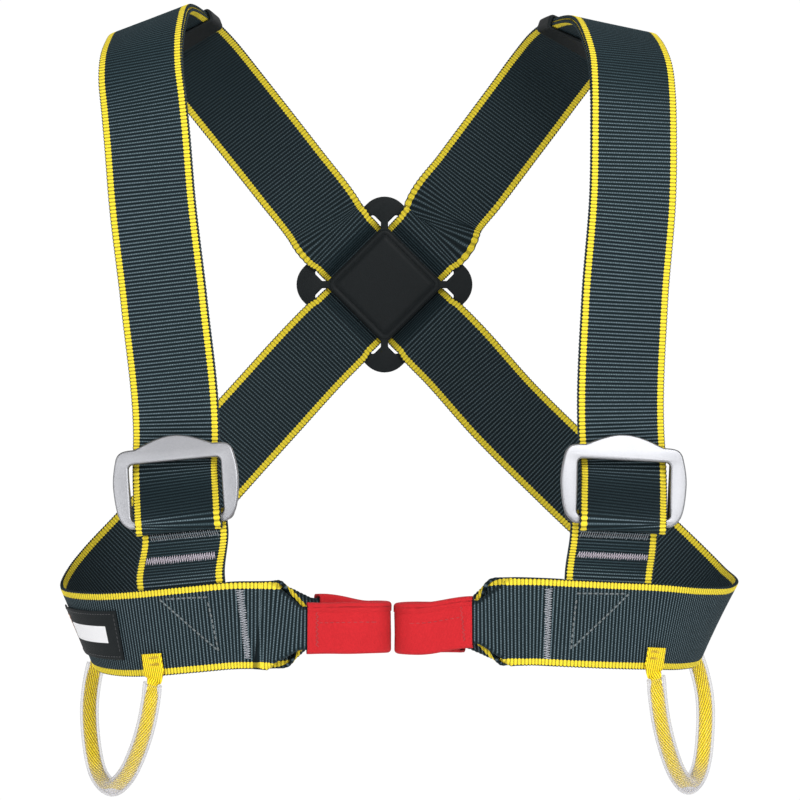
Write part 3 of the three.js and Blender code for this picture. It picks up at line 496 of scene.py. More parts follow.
def threads(side, name, segments, radius, material, slot):
    """Short sewn threads as one piece. Each segment is (from, to, outward normal) on the cloth."""
    body = Body()
    angles = 2 * math.pi * np.arange(THREAD_SIDES) / THREAD_SIDES
    circle = radius * np.stack([np.cos(angles), np.sin(angles)], axis=1)
    shares = np.array([row[0] for row in THREAD_PROFILE])
    for start, stop, normal in segments:
        span = np.asarray(stop) - start
        section = circle @ np.stack([unit(np.cross(span, normal)), normal])
        lift = normal * THREAD_LIFT * radius
        points = [start + span * t + lift * height + section * wide for t, wide, height in THREAD_PROFILE]
        uv = cloth_uv(np.arange(THREAD_SIDES) * radius, shares * np.linalg.norm(span))
        body.add(points, uv, ring_faces(len(shares), THREAD_SIDES, flip=True))
    body.make(side, name, material, slot)


def surface(run, lift=WEB_THICK / 2):
    """A function from (distance, across) to the point and outward normal on a run's cloth."""
    def where(distance, across):
        s = run.sample(distance)
        return s.point[0] + s.across[0] * across + s.normal[0] * lift, s.normal[0]
    return where


def sewn(where, ends):
    """Segments of thread on the cloth, from pairs of (distance, across) places."""
    return [(where(*a)[0], where(*b)[0], where(*a)[1]) for a, b in ends]


def dashes(where, start, stop, length, pitch):
    """A stitched line between two (distance, across) places."""
    start, span = np.array(start, float), np.subtract(stop, start)
    total = np.linalg.norm(span)
    begins = np.arange(int(total / pitch)) * pitch
    ends = np.minimum(begins + length, total)
    shares = np.stack([begins, ends], axis=1)[..., None] / total
    return sewn(where, start + span * shares)


def zigzag(where, start, stop, width, pitch, seed):
    """A bartack: a dense zigzag between two (distance, across) places."""
    chance = np.random.default_rng(seed)
    start, span = np.array(start, float), np.subtract(stop, start)
    total = np.linalg.norm(span)
    along = span / total
    side = np.array((-along[1], along[0]))
    places = [
        start + along * (k * pitch) + side * ((-1) ** k * width / 2 * chance.uniform(0.8, 1.05))
        for k in range(int(total / pitch) + 1)
    ]
    return sewn(where, zip(places, places[1:]))


# Materials


class Nodes:
    """Makes a material's nodes. Values are sockets or plain numbers."""

    def __init__(self, name):
        self.material = bpy.data.materials.new(name)
        self.material.use_nodes = True
        self.tree = self.material.node_tree
        self.shader = next(n for n in self.tree.nodes if n.type == "BSDF_PRINCIPLED")

    def new(self, kind, **settings):
        node = self.tree.nodes.new(kind)
        for key, value in settings.items():
            setattr(node, key, value)
        return node

    def put(self, socket, value):
        if isinstance(value, bpy.types.NodeSocket):
            self.tree.links.new(value, socket)
        else:
            socket.default_value = value

    def math(self, operation, *values):
        node = self.new("ShaderNodeMath", operation=operation)
        for socket, value in zip(node.inputs, values):
            self.put(socket, value)
        return node.outputs[0]

    def mul(self, a, b):
        return self.math("MULTIPLY", a, b)

    def add(self, a, b):
        return self.math("ADD", a, b)

    def sub(self, a, b):
        return self.math("SUBTRACT", a, b)

    def fit(self, value, scale, shift):
        """The value times scale, plus shift."""
        return self.math("MULTIPLY_ADD", value, scale, shift)

    def mix(self, factor, a, b):
        node = self.new("ShaderNodeMix", data_type="RGBA")
        self.put(node.inputs["Factor"], factor)
        for key, value in (("A", a), ("B", b)):
            socket = next(s for s in node.inputs if s.name == key and s.type == "RGBA")
            self.put(socket, (*value, 1.0) if isinstance(value, tuple) else value)
        return next(s for s in node.outputs if s.type == "RGBA")

    def step(self, value, low, high):
        """0 below low, 1 above high and smooth between."""
        node = self.new("ShaderNodeMapRange", interpolation_type="SMOOTHSTEP")
        self.put(node.inputs["Value"], value)
        self.put(node.inputs["From Min"], low)
        self.put(node.inputs["From Max"], high)
        return node.outputs["Result"]

    def wave(self, value, pitch):
        """0 to 1 and back once for each pitch, 0 where value is a whole number of pitches."""
        return self.fit(self.math("COSINE", self.mul(value, 2 * math.pi / pitch)), -0.5, 0.5)

    def cloth_place(self):
        """Millimetres across and along the cloth."""
        split = self.new("ShaderNodeSeparateXYZ")
        self.put(split.inputs[0], self.new("ShaderNodeUVMap", uv_map="Weave").outputs[0])
        scale = 1 / UV_SCALE
        return self.mul(split.outputs[0], scale), self.mul(split.outputs[1], scale)

    def noise(self, scale, detail=2.0, roughness=0.5, vector=None):
        node = self.new("ShaderNodeTexNoise")
        if vector is None:
            vector = self.new("ShaderNodeTexCoord").outputs["Object"]
        self.put(node.inputs["Vector"], vector)
        node.inputs["Scale"].default_value = scale
        node.inputs["Detail"].default_value = detail
        node.inputs["Roughness"].default_value = roughness
        return node.outputs[0]

    def bump(self, height, distance, strength=1.0):
        node = self.new("ShaderNodeBump")
        self.put(node.inputs["Height"], height)
        node.inputs["Distance"].default_value = distance
        node.inputs["Strength"].default_value = strength
        self.put(self.shader.inputs["Normal"], node.outputs[0])

    def set(self, **values):
        for key, value in values.items():
            self.put(self.shader.inputs[key.replace("_", " ")], value)
        return self.material


def webbing_material():
    """Black ribbed webbing with a yellow stripe along each edge, inside a thin black selvedge. The rib
    tops carry a painted highlight, dotted by the threads, and the rib valleys and inner face are painted
    darker as shade."""
    n = Nodes("webbing")
    u, v = n.cloth_place()
    rib = n.wave(v, RIB)
    odd = n.mul(n.math("FLOOR", n.math("DIVIDE", v, RIB)), math.pi)
    turned = n.fit(u, 2 * math.pi / 1.25, odd)
    thread = n.fit(n.math("SINE", turned), 0.5, 0.5)
    fine = n.noise(1400, 2.0)
    cloudy = n.noise(26, 3.0)
    # Painted highlight: the rib tops are painted pale in dots along the threads, and dimmer where the cloth
    # faces up or down, as if lit from the front.
    facing = n.new("ShaderNodeSeparateXYZ")
    n.put(facing.inputs[0], n.new("ShaderNodeNewGeometry").outputs["Normal"])
    steep = n.step(n.math("ABSOLUTE", facing.outputs[2]), 0.1, 0.6)
    upright = n.sub(1.0, n.mul(steep, 0.85))
    dots = n.fit(n.step(thread, 0.25, 0.8), 0.6, 0.4)
    crest_highlight = n.mul(n.step(rib, 0.62, 0.98), dots)
    crest_highlight = n.mul(crest_highlight, n.fit(fine, 1.2, 0.2))
    crest_highlight = n.mul(crest_highlight, upright)
    # Painted shade: faces turned towards the harness's middle, on its inner side, are painted darker, as if
    # in shadow.
    place, outward = n.new("ShaderNodeNewGeometry"), n.new("ShaderNodeVectorMath")
    outward.operation = "DOT_PRODUCT"
    n.put(outward.inputs[0], place.outputs["Position"])
    n.put(outward.inputs[1], place.outputs["Normal"])
    inner_face_shade = n.fit(n.step(outward.outputs["Value"], -0.02, 0.01), 0.55, 0.45)
    crest_highlight = n.mul(crest_highlight, inner_face_shade)
    # Painted shade: the black is darker in the rib valleys and paler on the rib tops, mottled by a cloudy
    # noise.
    body = n.mix(n.mul(n.mul(rib, inner_face_shade), n.fit(cloudy, 0.6, 0.6)),
                 (0.0016, 0.0046, 0.0060), (0.010, 0.024, 0.030))
    black = n.mix(crest_highlight, body, (0.115, 0.155, 0.175))
    # Painted shade: the yellow stripe is darker in the rib valleys and on the inner face.
    shade = n.mul(n.step(rib, 0.0, 0.5), n.fit(fine, 0.5, 0.7))
    shade = n.mul(shade, n.fit(inner_face_shade, 0.7, 0.3))
    yellow = n.mix(shade, (0.26, 0.21, 0.012), (0.66, 0.52, 0.030))
    away = n.math("ABSOLUTE", u)
    inside = n.step(away, n.fit(rib, -0.4, 18.95), n.fit(rib, -0.4, 19.15))
    outside = n.step(away, n.fit(rib, 0.4, 21.55), n.fit(rib, 0.4, 21.75))
    stripe = n.sub(inside, outside)
    height = n.fit(thread, n.mul(rib, 0.4), n.mul(fine, 0.5))
    n.bump(height, 0.00014, 0.7)
    return n.set(
        Base_Color=n.mix(stripe, black, yellow),
        Roughness=n.fit(fine, 0.2, 0.6),
        Sheen_Weight=0.03,
        Sheen_Roughness=0.5,
        Sheen_Tint=(0.7, 0.9, 1.0, 1.0),
        Specular_IOR_Level=0.09,
    )


def red_material():
    """Red twill with fine diagonal ribs."""
    n = Nodes("red_twill")
    u, v = n.cloth_place()
    slant = n.add(u, n.mul(v, 0.55))
    twill = n.wave(slant, 0.62)
    cross = n.wave(n.sub(v, n.mul(u, 0.2)), 0.5)
    fine = n.noise(900, 2.0)
    cloudy = n.noise(60, 3.0)
    lit = n.fit(twill, 0.5, n.mul(cross, 0.2))
    lit = n.add(lit, n.mul(fine, 0.45))
    lit = n.mul(lit, n.fit(cloudy, 0.5, 0.7))
    n.bump(n.fit(twill, 0.7, n.mul(fine, 0.6)), 0.00022, 0.8)
    return n.set(
        Base_Color=n.mix(lit, (0.26, 0.007, 0.010), (0.55, 0.018, 0.024)),
        Roughness=0.8,
        Sheen_Weight=0.06,
        Sheen_Roughness=0.5,
        Sheen_Tint=(1.0, 0.5, 0.5, 1.0),
        Specular_IOR_Level=0.12,
    )


def strand_material(name, dark, light):
    """Narrow webbing woven of slanting strands."""
    n = Nodes(name)
    u, v = n.cloth_place()
    strand = n.wave(n.fit(v, 0.42, u), 1.3)
    fine = n.noise(1500, 2.0)
    lit = n.mul(n.math("POWER", strand, 0.6), n.fit(fine, 0.5, 0.7))
    n.bump(n.fit(strand, 0.8, n.mul(fine, 0.3)), 0.00035, 0.9)
    return n.set(Base_Color=n.mix(lit, dark, light), Roughness=0.6, Sheen_Weight=0.04, Sheen_Roughness=0.4,
                 Specular_IOR_Level=0.2)


def thread_material(name, dark, light):
    n = Nodes(name)
    fine = n.noise(2600, 1.0)
    n.bump(fine, 0.0001, 0.6)
    return n.set(Base_Color=n.mix(n.step(fine, 0.3, 0.7), dark, light), Roughness=0.5, Sheen_Weight=0.2,
                 Sheen_Roughness=0.4)


def metal_material(name, dark, light, roughness, metallic=1.0):
    """Tumbled metal with a fine speckle and a few faint scratches."""
    n = Nodes(name)
    speckle = n.noise(1800, 3.0, 0.6)
    broad = n.noise(45, 3.0)
    stretched = n.new("ShaderNodeMapping")
    n.put(stretched.inputs["Vector"], n.new("ShaderNodeTexCoord").outputs["Object"])
    stretched.inputs["Scale"].default_value = (60, 60, 1400)
    stretched.inputs["Rotation"].default_value = (0.3, 0.2, 0.1)
    scratch = n.step(n.noise(1.0, 2.0, 0.5, stretched.outputs[0]), 0.62, 0.75)
    shade = n.fit(speckle, 0.7, n.mul(broad, 0.5))
    n.bump(n.sub(speckle, n.mul(scratch, 0.4)), 0.00005, 0.7)
    return n.set(
        Base_Color=n.mix(shade, dark, light),
        Metallic=metallic,
        Roughness=n.fit(speckle, 0.18, roughness),
    )


def moulded_material():
    """Dark matte plastic with a fine spark-eroded grain, a little paler on its rounded edges."""
    n = Nodes("moulded_plastic")
    grain = n.noise(1500, 2.0, 0.6)
    broad = n.noise(40, 2.0)
    # Rounded edges, found by pointiness, are a little paler.
    edge = n.new("ShaderNodeNewGeometry").outputs["Pointiness"]
    pale_edges = n.mul(n.step(edge, 0.52, 0.6), 0.35)
    base = n.mix(n.fit(grain, 0.6, n.mul(broad, 0.3)),
                 (0.0029, 0.0040, 0.0044), (0.0080, 0.0105, 0.0118))
    n.bump(grain, 0.00008, 0.8)
    return n.set(Base_Color=n.mix(pale_edges, base, (0.0252, 0.0294, 0.0311)),
                 Roughness=n.fit(grain, 0.2, 0.45), Specular_IOR_Level=0.1)


def tube_material():
    """Clear soft tube, milky where it is seen edge on."""
    n = Nodes("clear_tube")
    facing = n.new("ShaderNodeLayerWeight")
    facing.inputs["Blend"].default_value = 0.5
    milk = n.noise(120, 2.0)
    edge = n.math("POWER", facing.outputs["Facing"], 2.0)
    alpha = n.fit(edge, 0.8, n.fit(milk, 0.02, 0.005))
    n.bump(n.noise(300, 2.0), 0.00006, 0.4)
    return n.set(
        Base_Color=n.mix(milk, (0.30, 0.29, 0.33), (0.44, 0.43, 0.48)),
        Roughness=0.16,
        Alpha=alpha,
        Specular_IOR_Level=0.55,
        Coat_Weight=0.3,
        Coat_Roughness=0.08,
    )


def label_material():
    """Black woven label: a fine warp, a plain pale band and an orange end. It bears no words."""
    n = Nodes("woven_label")
    u, v = n.cloth_place()
    warp = n.wave(v, 0.42)
    weft = n.wave(u, 0.36)
    fine = n.noise(1500, 2.0)
    lit = n.fit(warp, 0.4, n.mul(weft, 0.3))
    black = n.mix(lit, (0.0022, 0.0036, 0.0042), (0.012, 0.016, 0.018))
    orange = n.mix(lit, (0.6, 0.17, 0.01), (0.95, 0.36, 0.02))
    pale = n.mix(lit, (0.55, 0.55, 0.57), (0.9, 0.9, 0.9))
    colour = black
    for low, high, start, stop, ink in ((-5.0, 4.0, 13, 52, pale), (-9.0, 9.0, 5, 9, orange)):
        across = n.sub(n.step(u, low, low + 0.2), n.step(u, high, high + 0.2))
        along = n.sub(n.step(v, start, start + 0.2), n.step(v, stop, stop + 0.2))
        colour = n.mix(n.mul(across, along), colour, ink)
    n.bump(n.add(lit, n.mul(fine, 0.3)), 0.00012, 0.8)
    return n.set(Base_Color=colour, Roughness=0.65, Sheen_Weight=0.02, Specular_IOR_Level=0.1)


WEBBING = webbing_material()
RED = red_material()
YELLOW = strand_material("yellow_strands", (0.24, 0.13, 0.004), (0.90, 0.70, 0.012))
GREY_THREAD = thread_material("grey_thread", (0.04, 0.05, 0.055), (0.125, 0.15, 0.155))
DULL_THREAD = thread_material("dull_thread", (0.11, 0.12, 0.135), (0.30, 0.31, 0.34))
PALE_THREAD = thread_material("pale_thread", (0.22, 0.19, 0.23), (0.52, 0.47, 0.53))
OCHRE_THREAD = thread_material("ochre_thread", (0.28, 0.17, 0.004), (0.52, 0.36, 0.008))
RED_THREAD = thread_material("red_thread", (0.22, 0.002, 0.006), (0.42, 0.01, 0.015))
BLACK_THREAD = thread_material("black_thread", (0.006, 0.006, 0.008), (0.03, 0.03, 0.035))
STEEL = metal_material("satin_steel", (0.17, 0.172, 0.185), (0.32, 0.323, 0.338), 0.4)
DARK_STEEL = metal_material("dark_steel", (0.010, 0.011, 0.013), (0.034, 0.037, 0.04), 0.4, 0.6)
MOULDED = moulded_material()
CLEAR = tube_material()
LABEL = label_material()


# The webbings


class Seat:
    """Where a shoulder's frames sit, with the directions in the strap's plane."""

    def __init__(self, x, lean, swing):
        self.inward = -edge_direction(lean, swing)
        self.outward = unit(-np.cross((0, 0, 1), self.inward))
        self.upward = np.cross(self.outward, self.inward)
        self.middle = np.array((x * HALF_WIDTH, 0, -BAND_DROP + BUCKLE_HEIGHT))

    def point(self, side, height, depth):
        return self.middle + self.inward * side + self.upward * height + np.array((0, depth, 0))


def plate_crossing(side):
    """Stations of a webbing through the back plate's slots."""
    middle = np.array((side.mirror * PLATE_MIDDLE[0] * HALF_WIDTH, PLATE_Y, PLATE_MIDDLE[1] * BAND_DROP))
    diagonal = np.array((-1, 0, 1)) / math.sqrt(2)
    behind = PLATE_THICK + GAP + WEB_THICK / 2 + side.order * LAYER
    before = -(WEB_THICK / 2 + 1.5 * GAP)
    weave = [(PLATE_HALF + SLOT_RUN, before, 1), (SLOT_OUTER + SLOT_RUN, before, 0.985)]
    weave += [
        (
            SLOT_OUTER + SLOT_LEAD + (SLOT_INNER - SLOT_OUTER) * share,
            before + (behind - before) * smooth(share),
            SLOT_SQUEEZE,
        )
        for share in (0, 0.25, 0.5, 0.75, 1)
    ]
    weave += [(SLOT_INNER - SLOT_RUN + 2 * SLOT_LEAD, behind, 0.965), (SLOT_INNER / 2, behind, 0.97)]
    rows = weave + [(0, behind, 0.98)] + [(-out, depth, width) for out, depth, width in reversed(weave)]
    edge = edge_direction(45, 0)
    return [
        station(middle + diagonal * out + np.array((0, depth, 0)), edge, width * WEB_WIDTH)
        for out, depth, width in rows
    ]


def make_webbing(side):
    """Builds a webbing with its sleeve, keeper and stitches. Returns its band run and its seat."""
    seat = Seat(*side.buckle)
    top = BOTTOM_BAR / 2 + WINDOW_HEIGHT
    seated = lambda *place: station(seat.point(*place), -seat.inward)
    rise = [
        seated(0, BOTTOM_BAR / 2, OUTER_BAR_Y - OUTER_LOOP),
        seated(RISE_SHIFT / 2, top, BEHIND_INNER_Y),
        seated(RISE_SHIFT, top + RISE_STRAIGHT, BEHIND_INNER_Y),
    ]
    front = [from_row(row) for row in side.front]
    back = [from_row(row) for row in side.back]
    main = rise + front + plate_crossing(side) + back

    upper = Run.through(main)
    crown = upper.at[np.nonzero((upper.tangent[:, 2] <= 0) & (upper.at > WEB_WIDTH))[0][0]]
    keeper_at = crown + KEEPER_PLACE
    tail_from = upper.at[np.nonzero(upper.point[:, 2] > seat.middle[2] + top + TAIL_JOIN)[0][0]]
    tail_to = keeper_at + TAIL_END

    meet = side.mirror * LOOP_MIDDLE * HALF_WIDTH + SLEEVE_GAP / 2
    folded_thick = 2 * WEB_THICK + GAP
    leg_thick = folded_thick + 2 * (GAP + SLEEVE_WALL)
    bend = (LOOP_INSIDE + leg_thick) / 2
    centre_x = meet + leg_thick / 2 + bend
    sleeve_from = meet + side.cover
    front_y = BAND_Y + leg_thick / 2 - WEB_THICK / 2
    rear_y = front_y + 2 * bend
    band_z = side.back[-1][2] * BAND_DROP
    leg_z = band_z - side.sink * BAND_DROP
    down = np.array((0, 0, -1.0))
    folding = [
        (1, 1, WEB_THICK),
        (0.75, 0.92, 1.25 * WEB_THICK),
        (0.48, 0.77, 1.6 * WEB_THICK),
        (0.27, 0.61, 1.9 * WEB_THICK),
        (0.12, FOLDED_WIDTH / WEB_WIDTH, folded_thick),
        (-0.06, FOLDED_WIDTH / WEB_WIDTH, folded_thick),
    ]

    def fold_station(row, start, near_y, far_y, z):
        share, width, thick = row
        place = (
            start + share * FOLD_LENGTH,
            near_y + (far_y - near_y) * share,
            z + (band_z - z) * float(smooth(share)),
        )
        return station(place, down, width * WEB_WIDTH, thick)

    front_z, rear_z = (leg_z + rise * BAND_DROP for rise in (side.front_rise, side.rear_rise))
    front_fold = [fold_station(row, sleeve_from, front_y, BAND_Y, front_z) for row in folding]
    arc = []
    for angle in np.radians(np.arange(0, 181, 22.5)):
        place = (centre_x - bend * math.sin(angle), (front_y + rear_y) / 2 - bend * math.cos(angle), leg_z)
        arc.append(station(place, down, FOLDED_WIDTH, folded_thick))
    rear_from = sleeve_from - SLEEVE_STEP
    band = Run.through(main + front_fold[:1])
    stub_edge = band.find_x(side.stub_x * HALF_WIDTH - WEB_WIDTH / 2) + 1
    rear_end = []
    for share in (1, 0.5, 0):
        s = band.sample(stub_edge + share * LOOP_LAP)
        rear_end.append(station(s.point[0] - s.normal[0] * LAYER, s.across[0]))
    far_y = BAND_Y + REAR_LAYERS * LAYER
    rear_fold = [fold_station(row, rear_from, rear_y, far_y, rear_z) for row in reversed(folding[1:])]
    loop = front_fold + arc + rear_fold + rear_end
    strap = Run.through(main + loop)

    # The tail lies one layer nearer the body than the strap, and turns round the outer frame's bar
    along = strap.sample(np.arange(tail_to, tail_from, -1.0))
    tail = Run(along.point - along.normal * LAYER, along.across, along.width, along.thick, -along.normal)
    fold = []
    for angle in np.radians(np.arange(180, 361, 15)):
        depth = OUTER_BAR_Y - OUTER_LOOP * math.cos(angle)
        fold.append(seated(0, OUTER_LOOP * math.sin(angle), depth))
    turn = Run.through([
        station(tail.point[-1], tail.across[-1]),
        seated(RISE_SHIFT, top + TAIL_BEND, BEHIND_INNER_Y + LAYER),
        seated(RISE_SHIFT / 2, top, BEHIND_INNER_Y + LAYER),
        seated(0, BOTTOM_BAR, TAIL_FRONT_Y + GAP),
        *fold,
        main[0],
    ])
    path = join_runs([(tail, 0, -1), (turn, 1, -1), (strap, 0, None)])
    loop_from = path.length - Run.through(loop).length

    body = Body()
    webbing(body, path, 0, loop_from - 1)
    folded_webbing(body, path, loop_from - 1, path.length)
    body.make(side, f"webbing_cloth_{side.end}", WEBBING, "webbing", f"webbing_{side.end}_band")

    make_sleeve(side, Run.through(loop), sleeve_from, rear_from, (front_y + rear_y) / 2, folded_thick)
    make_keeper(side, strap, keeper_at)
    make_band_stitches(side, band)
    return band, seat


def make_sleeve(side, run, sleeve_from, rear_from, middle_y, folded_thick):
    """Red sleeve on the folded loop, with a lapped seam along it, and its stitches."""
    first = run.at[np.nonzero(run.point[:, 0] <= sleeve_from)[0][0]]
    last = run.at[np.nonzero((run.point[:, 1] > middle_y) & (run.point[:, 0] >= rear_from - 0.5))[0][0]]
    ring_step = 0.9
    at = np.linspace(first, last, int((last - first) / ring_step))
    s = run.sample(at)
    bore = np.array((FOLDED_WIDTH + 3 * GAP, folded_thick + 2 * GAP))
    cover = bore + 2 * SLEEVE_WALL
    lap_low, lap_high = -8.1, -7.7
    columns = (-10.5, -8.5, lap_low, lap_high, -7.3, -3, 3, 9)
    outer, around = box_section(*cover, corner=1.9, steps=4, extra=columns)
    inner, _ = box_section(*bore, corner=0.9, steps=4, extra=columns)
    # The lap above the seam is a little thicker, and the cloth between its stitches swells
    a, n = outer.T
    raised = np.where(n > 0, np.where(a < lap_low, 0.0, np.where(a > lap_high, -0.32, -0.42)), -0.1)
    phase = np.random.default_rng(5 + side.order).uniform(0, 6, 4)
    along = at[:, None]
    wave = 0.16 * np.sin(along / 5.2 + phase[0] + a * 0.22)
    wave = wave + 0.12 * np.sin(along / 3.1 + phase[1] - a * 0.35)
    hem = np.where(np.minimum(along - first, last - along) < 0.8, -0.25, 0.0)
    shift = np.clip(raised + 0.5 * wave + hem, -0.6, 0.12)
    edge = np.where(np.abs(a) > cover[0] / 2 - 2, np.sign(a) * 0.12 * np.sin(along / 4.3 + phase[2]), 0)

    def placed(across, normal):
        moved = s.across[:, None] * across[..., None] + s.normal[:, None] * normal[..., None]
        return s.point[:, None] + moved

    body = Body()
    swollen = placed(a + edge, n + shift * np.sign(n) * (np.abs(n) > 2))
    tube(body, swollen, placed(inner[:, 0], inner[:, 1]), around, at)
    body.make(side, f"tie_in_cover_{side.end}", RED, "red_fabric", f"tie_in_sleeve_{side.end}")

    where = surface(run, cover[1] / 2 - 0.3)
    front_length = sleeve_from - side.mirror * LOOP_MIDDLE * HALF_WIDTH
    stitches = []
    for start, stop in ((first + 6.5, first + front_length - 8), (last - 6.5, last - front_length + 14)):
        stitches += dashes(where, (start, -3.0), (stop, -3.0), length=1.9, pitch=2.9)
    for seed, place in ((3, first + 5.2), (4, last - 5.2)):
        stitches += zigzag(where, (place, -9.5), (place, 10), width=1.6, pitch=1.1, seed=seed)
    threads(side, f"sleeve_stitches_{side.end}", stitches, 0.24, RED_THREAD, "red_fabric")


def make_keeper(side, strap, keeper_at):
    """Moulded keeper round the strap and its tail, with rounded rims."""
    steps = np.array((0.0, 0.25, 0.6, 1.1, 2, 4, 6.5, 8.5, 9.4, 9.9, 10.25, 10.5)) * KEEPER_LENGTH / 10.5
    round_off = np.array((0.75, 0.35, 0.12, 0, 0, 0, 0, 0, 0, 0.12, 0.35, 0.75))
    s = strap.sample(keeper_at - KEEPER_LENGTH / 2 + steps)
    bore = np.array((WEB_WIDTH + 3 * GAP, 2 * WEB_THICK + 4 * GAP))

    def rings(walls):
        made = []
        for i, wall in enumerate(walls):
            section, around = box_section(*(bore + 2 * wall), 0.8 + wall, steps=4, extra=(-15, -5, 5, 15))
            middle = s.point[i] - s.normal[i] * LAYER / 2
            made.append(middle + section @ np.stack([s.across[i], s.normal[i]]))
        return np.array(made), around

    inner, around = rings(0 * steps)
    body = Body()
    tube(body, rings(KEEPER_WALL - round_off)[0], inner, around, steps)
    body.make(side, f"keeper_moulding_{side.shoulder}", MOULDED, "moulded", f"keeper_{side.shoulder}")


def band_places(band, marks):
    """(distance, across) on the band for marks given as x and z."""
    made = []
    for x, z in marks:
        distance = band.find_x(x)
        s = band.sample(distance)
        made.append((distance, (z - s.point[0][2]) / s.across[0][2]))
    return made


def make_band_stitches(side, band):
    """Bartack and stitched triangle on the band's front."""
    where = surface(band)
    tack = zigzag(where, *band_places(band, side.tack), width=3.9, pitch=0.62, seed=7)
    threads(side, f"bartack_{side.end}", tack, 0.26, DULL_THREAD, "webbing")
    corners = band_places(band, side.triangle)
    lines = []
    for a, b in zip(corners, corners[1:] + corners[:1]):
        lines += dashes(where, a, b, length=2.2, pitch=2.9)
    threads(side, f"triangle_stitch_{side.end}", lines, 0.55, GREY_THREAD, "webbing")


def make_stub(side, band, seat):
    """Stub strap behind the band, looped over the inner frame's bar, with two bartack rows."""
    top = WEB_WIDTH / 2 + STUB_BEND / 2

    def on_seat(across, height, depth):
        return np.array([seat.point(side.stub_shift - a, height, depth) for a in across]) * (-1, 1, 1)

    def row(height, lift, depth, across=FLAT_U):
        s = band.sample([band.find_x(side.stub_x * HALF_WIDTH + a) for a in across])
        on_band = s.point - s.across * height - s.normal * lift
        share = float(smooth((height - top) / (BUCKLE_HEIGHT - STUB_BEND - top)))
        return on_band * (1 - share) + on_seat(across, height - BUCKLE_HEIGHT, depth) * share

    rear = np.arange(-STUB_END[0], BUCKLE_HEIGHT - 0.9, 1.0)
    front = np.arange(BUCKLE_HEIGHT - 1, -STUB_END[1] - 0.01, -1.0)
    grid = [row(h, 2 * LAYER + GAP, INNER_BAR_Y + INNER_LOOP) for h in rear]
    for angle in np.radians(np.arange(0, 181, 12)):
        depth = INNER_BAR_Y + INNER_LOOP * math.cos(angle)
        grid.append(on_seat(FLAT_U, INNER_LOOP * math.sin(angle), depth))
    grid += [row(h, LAYER + GAP, INNER_BAR_Y - INNER_LOOP) for h in front]
    grid = np.array(grid)
    at = along_line(grid[:, len(FLAT_U) // 2])
    places, rib = rib_places(0, at[-1])
    columns = grid.reshape(len(at), -1).T
    fine = np.stack([np.interp(places, at, values) for values in columns], axis=1)
    body = Body()
    ribbon(body, fine.reshape(len(places), -1, 3), places, rib, FLAT_U, FLAT_FULL)
    body.make(side, f"stub_cloth_{side.end}", WEBBING, "webbing", f"stub_strap_{side.end}")

    # Two bartack rows sit on the front layer: slanted strokes above and a dense zigzag below, which has
    # two strokes for each place across
    rows = (("upper", 46.8, 1.15, 1, DULL_THREAD), ("lower", 36.4, 1.2, 2, PALE_THREAD))
    half_height = 1.7
    for name, height, pitch, count, material in rows:
        chance = np.random.default_rng(int(height))
        across = np.arange(-17.8, 18.4, pitch)
        levels = (height - half_height, height + half_height)
        low, high = (row(level, LAYER + GAP, INNER_BAR_Y - INNER_LOOP, across) for level in levels)
        facing = unit(np.cross(high[6] - low[6], low[9] - low[3]))
        facing *= -np.sign(facing[1])
        out = facing * (WEB_THICK / 2 + 0.05)
        segments = []
        for k in range(len(across) - 1):
            strokes = [(low[k], high[k + 1]), (high[k + 1], low[k + 1])]
            for start, stop in strokes[:count]:
                stretch = (stop - start) * chance.uniform(-0.08, 0.08)
                segments.append((start + out - stretch, stop + out + stretch, facing))
        threads(side, f"stub_bartack_{name}_{side.end}", segments, 0.21, material, "webbing")


# Frames and plate


def rounded_polygon(corners, radii, steps=8):
    """Outline of a polygon, counter-clockwise, whose corners are rounded."""
    corners = [np.array(c, float) for c in corners]
    points = []
    for i, (corner, radius) in enumerate(zip(corners, radii)):
        before = unit(corners[i - 1] - corner)
        after = unit(corners[(i + 1) % len(corners)] - corner)
        half = math.acos(np.clip(before @ after, -1, 1)) / 2
        centre = corner + unit(before + after) * (radius / math.sin(half))
        start, stop = (corner + way * (radius / math.tan(half)) - centre for way in (before, after))
        first = math.atan2(start[1], start[0])
        turn = (math.atan2(stop[1], stop[0]) - first + math.pi) % (2 * math.pi) - math.pi
        angles = first + turn * np.arange(steps + 1) / steps
        points += (centre + radius * np.stack([np.cos(angles), np.sin(angles)], axis=1)).tolist()
    return points


def box(half, low, high):
    """Corners of a rectangle, counter-clockwise."""
    return [(-half, low), (half, low), (half, high), (-half, high)]


def bezier(points, steps=14):
    """Points of a cubic curve, without its last one."""
    p0, p1, p2, p3 = (np.array(p, float) for p in points)
    t = (np.arange(steps) / steps)[:, None]
    return p0 * (1 - t) ** 3 + 3 * p1 * t * (1 - t) ** 2 + 3 * p2 * t * t * (1 - t) + p3 * t ** 3


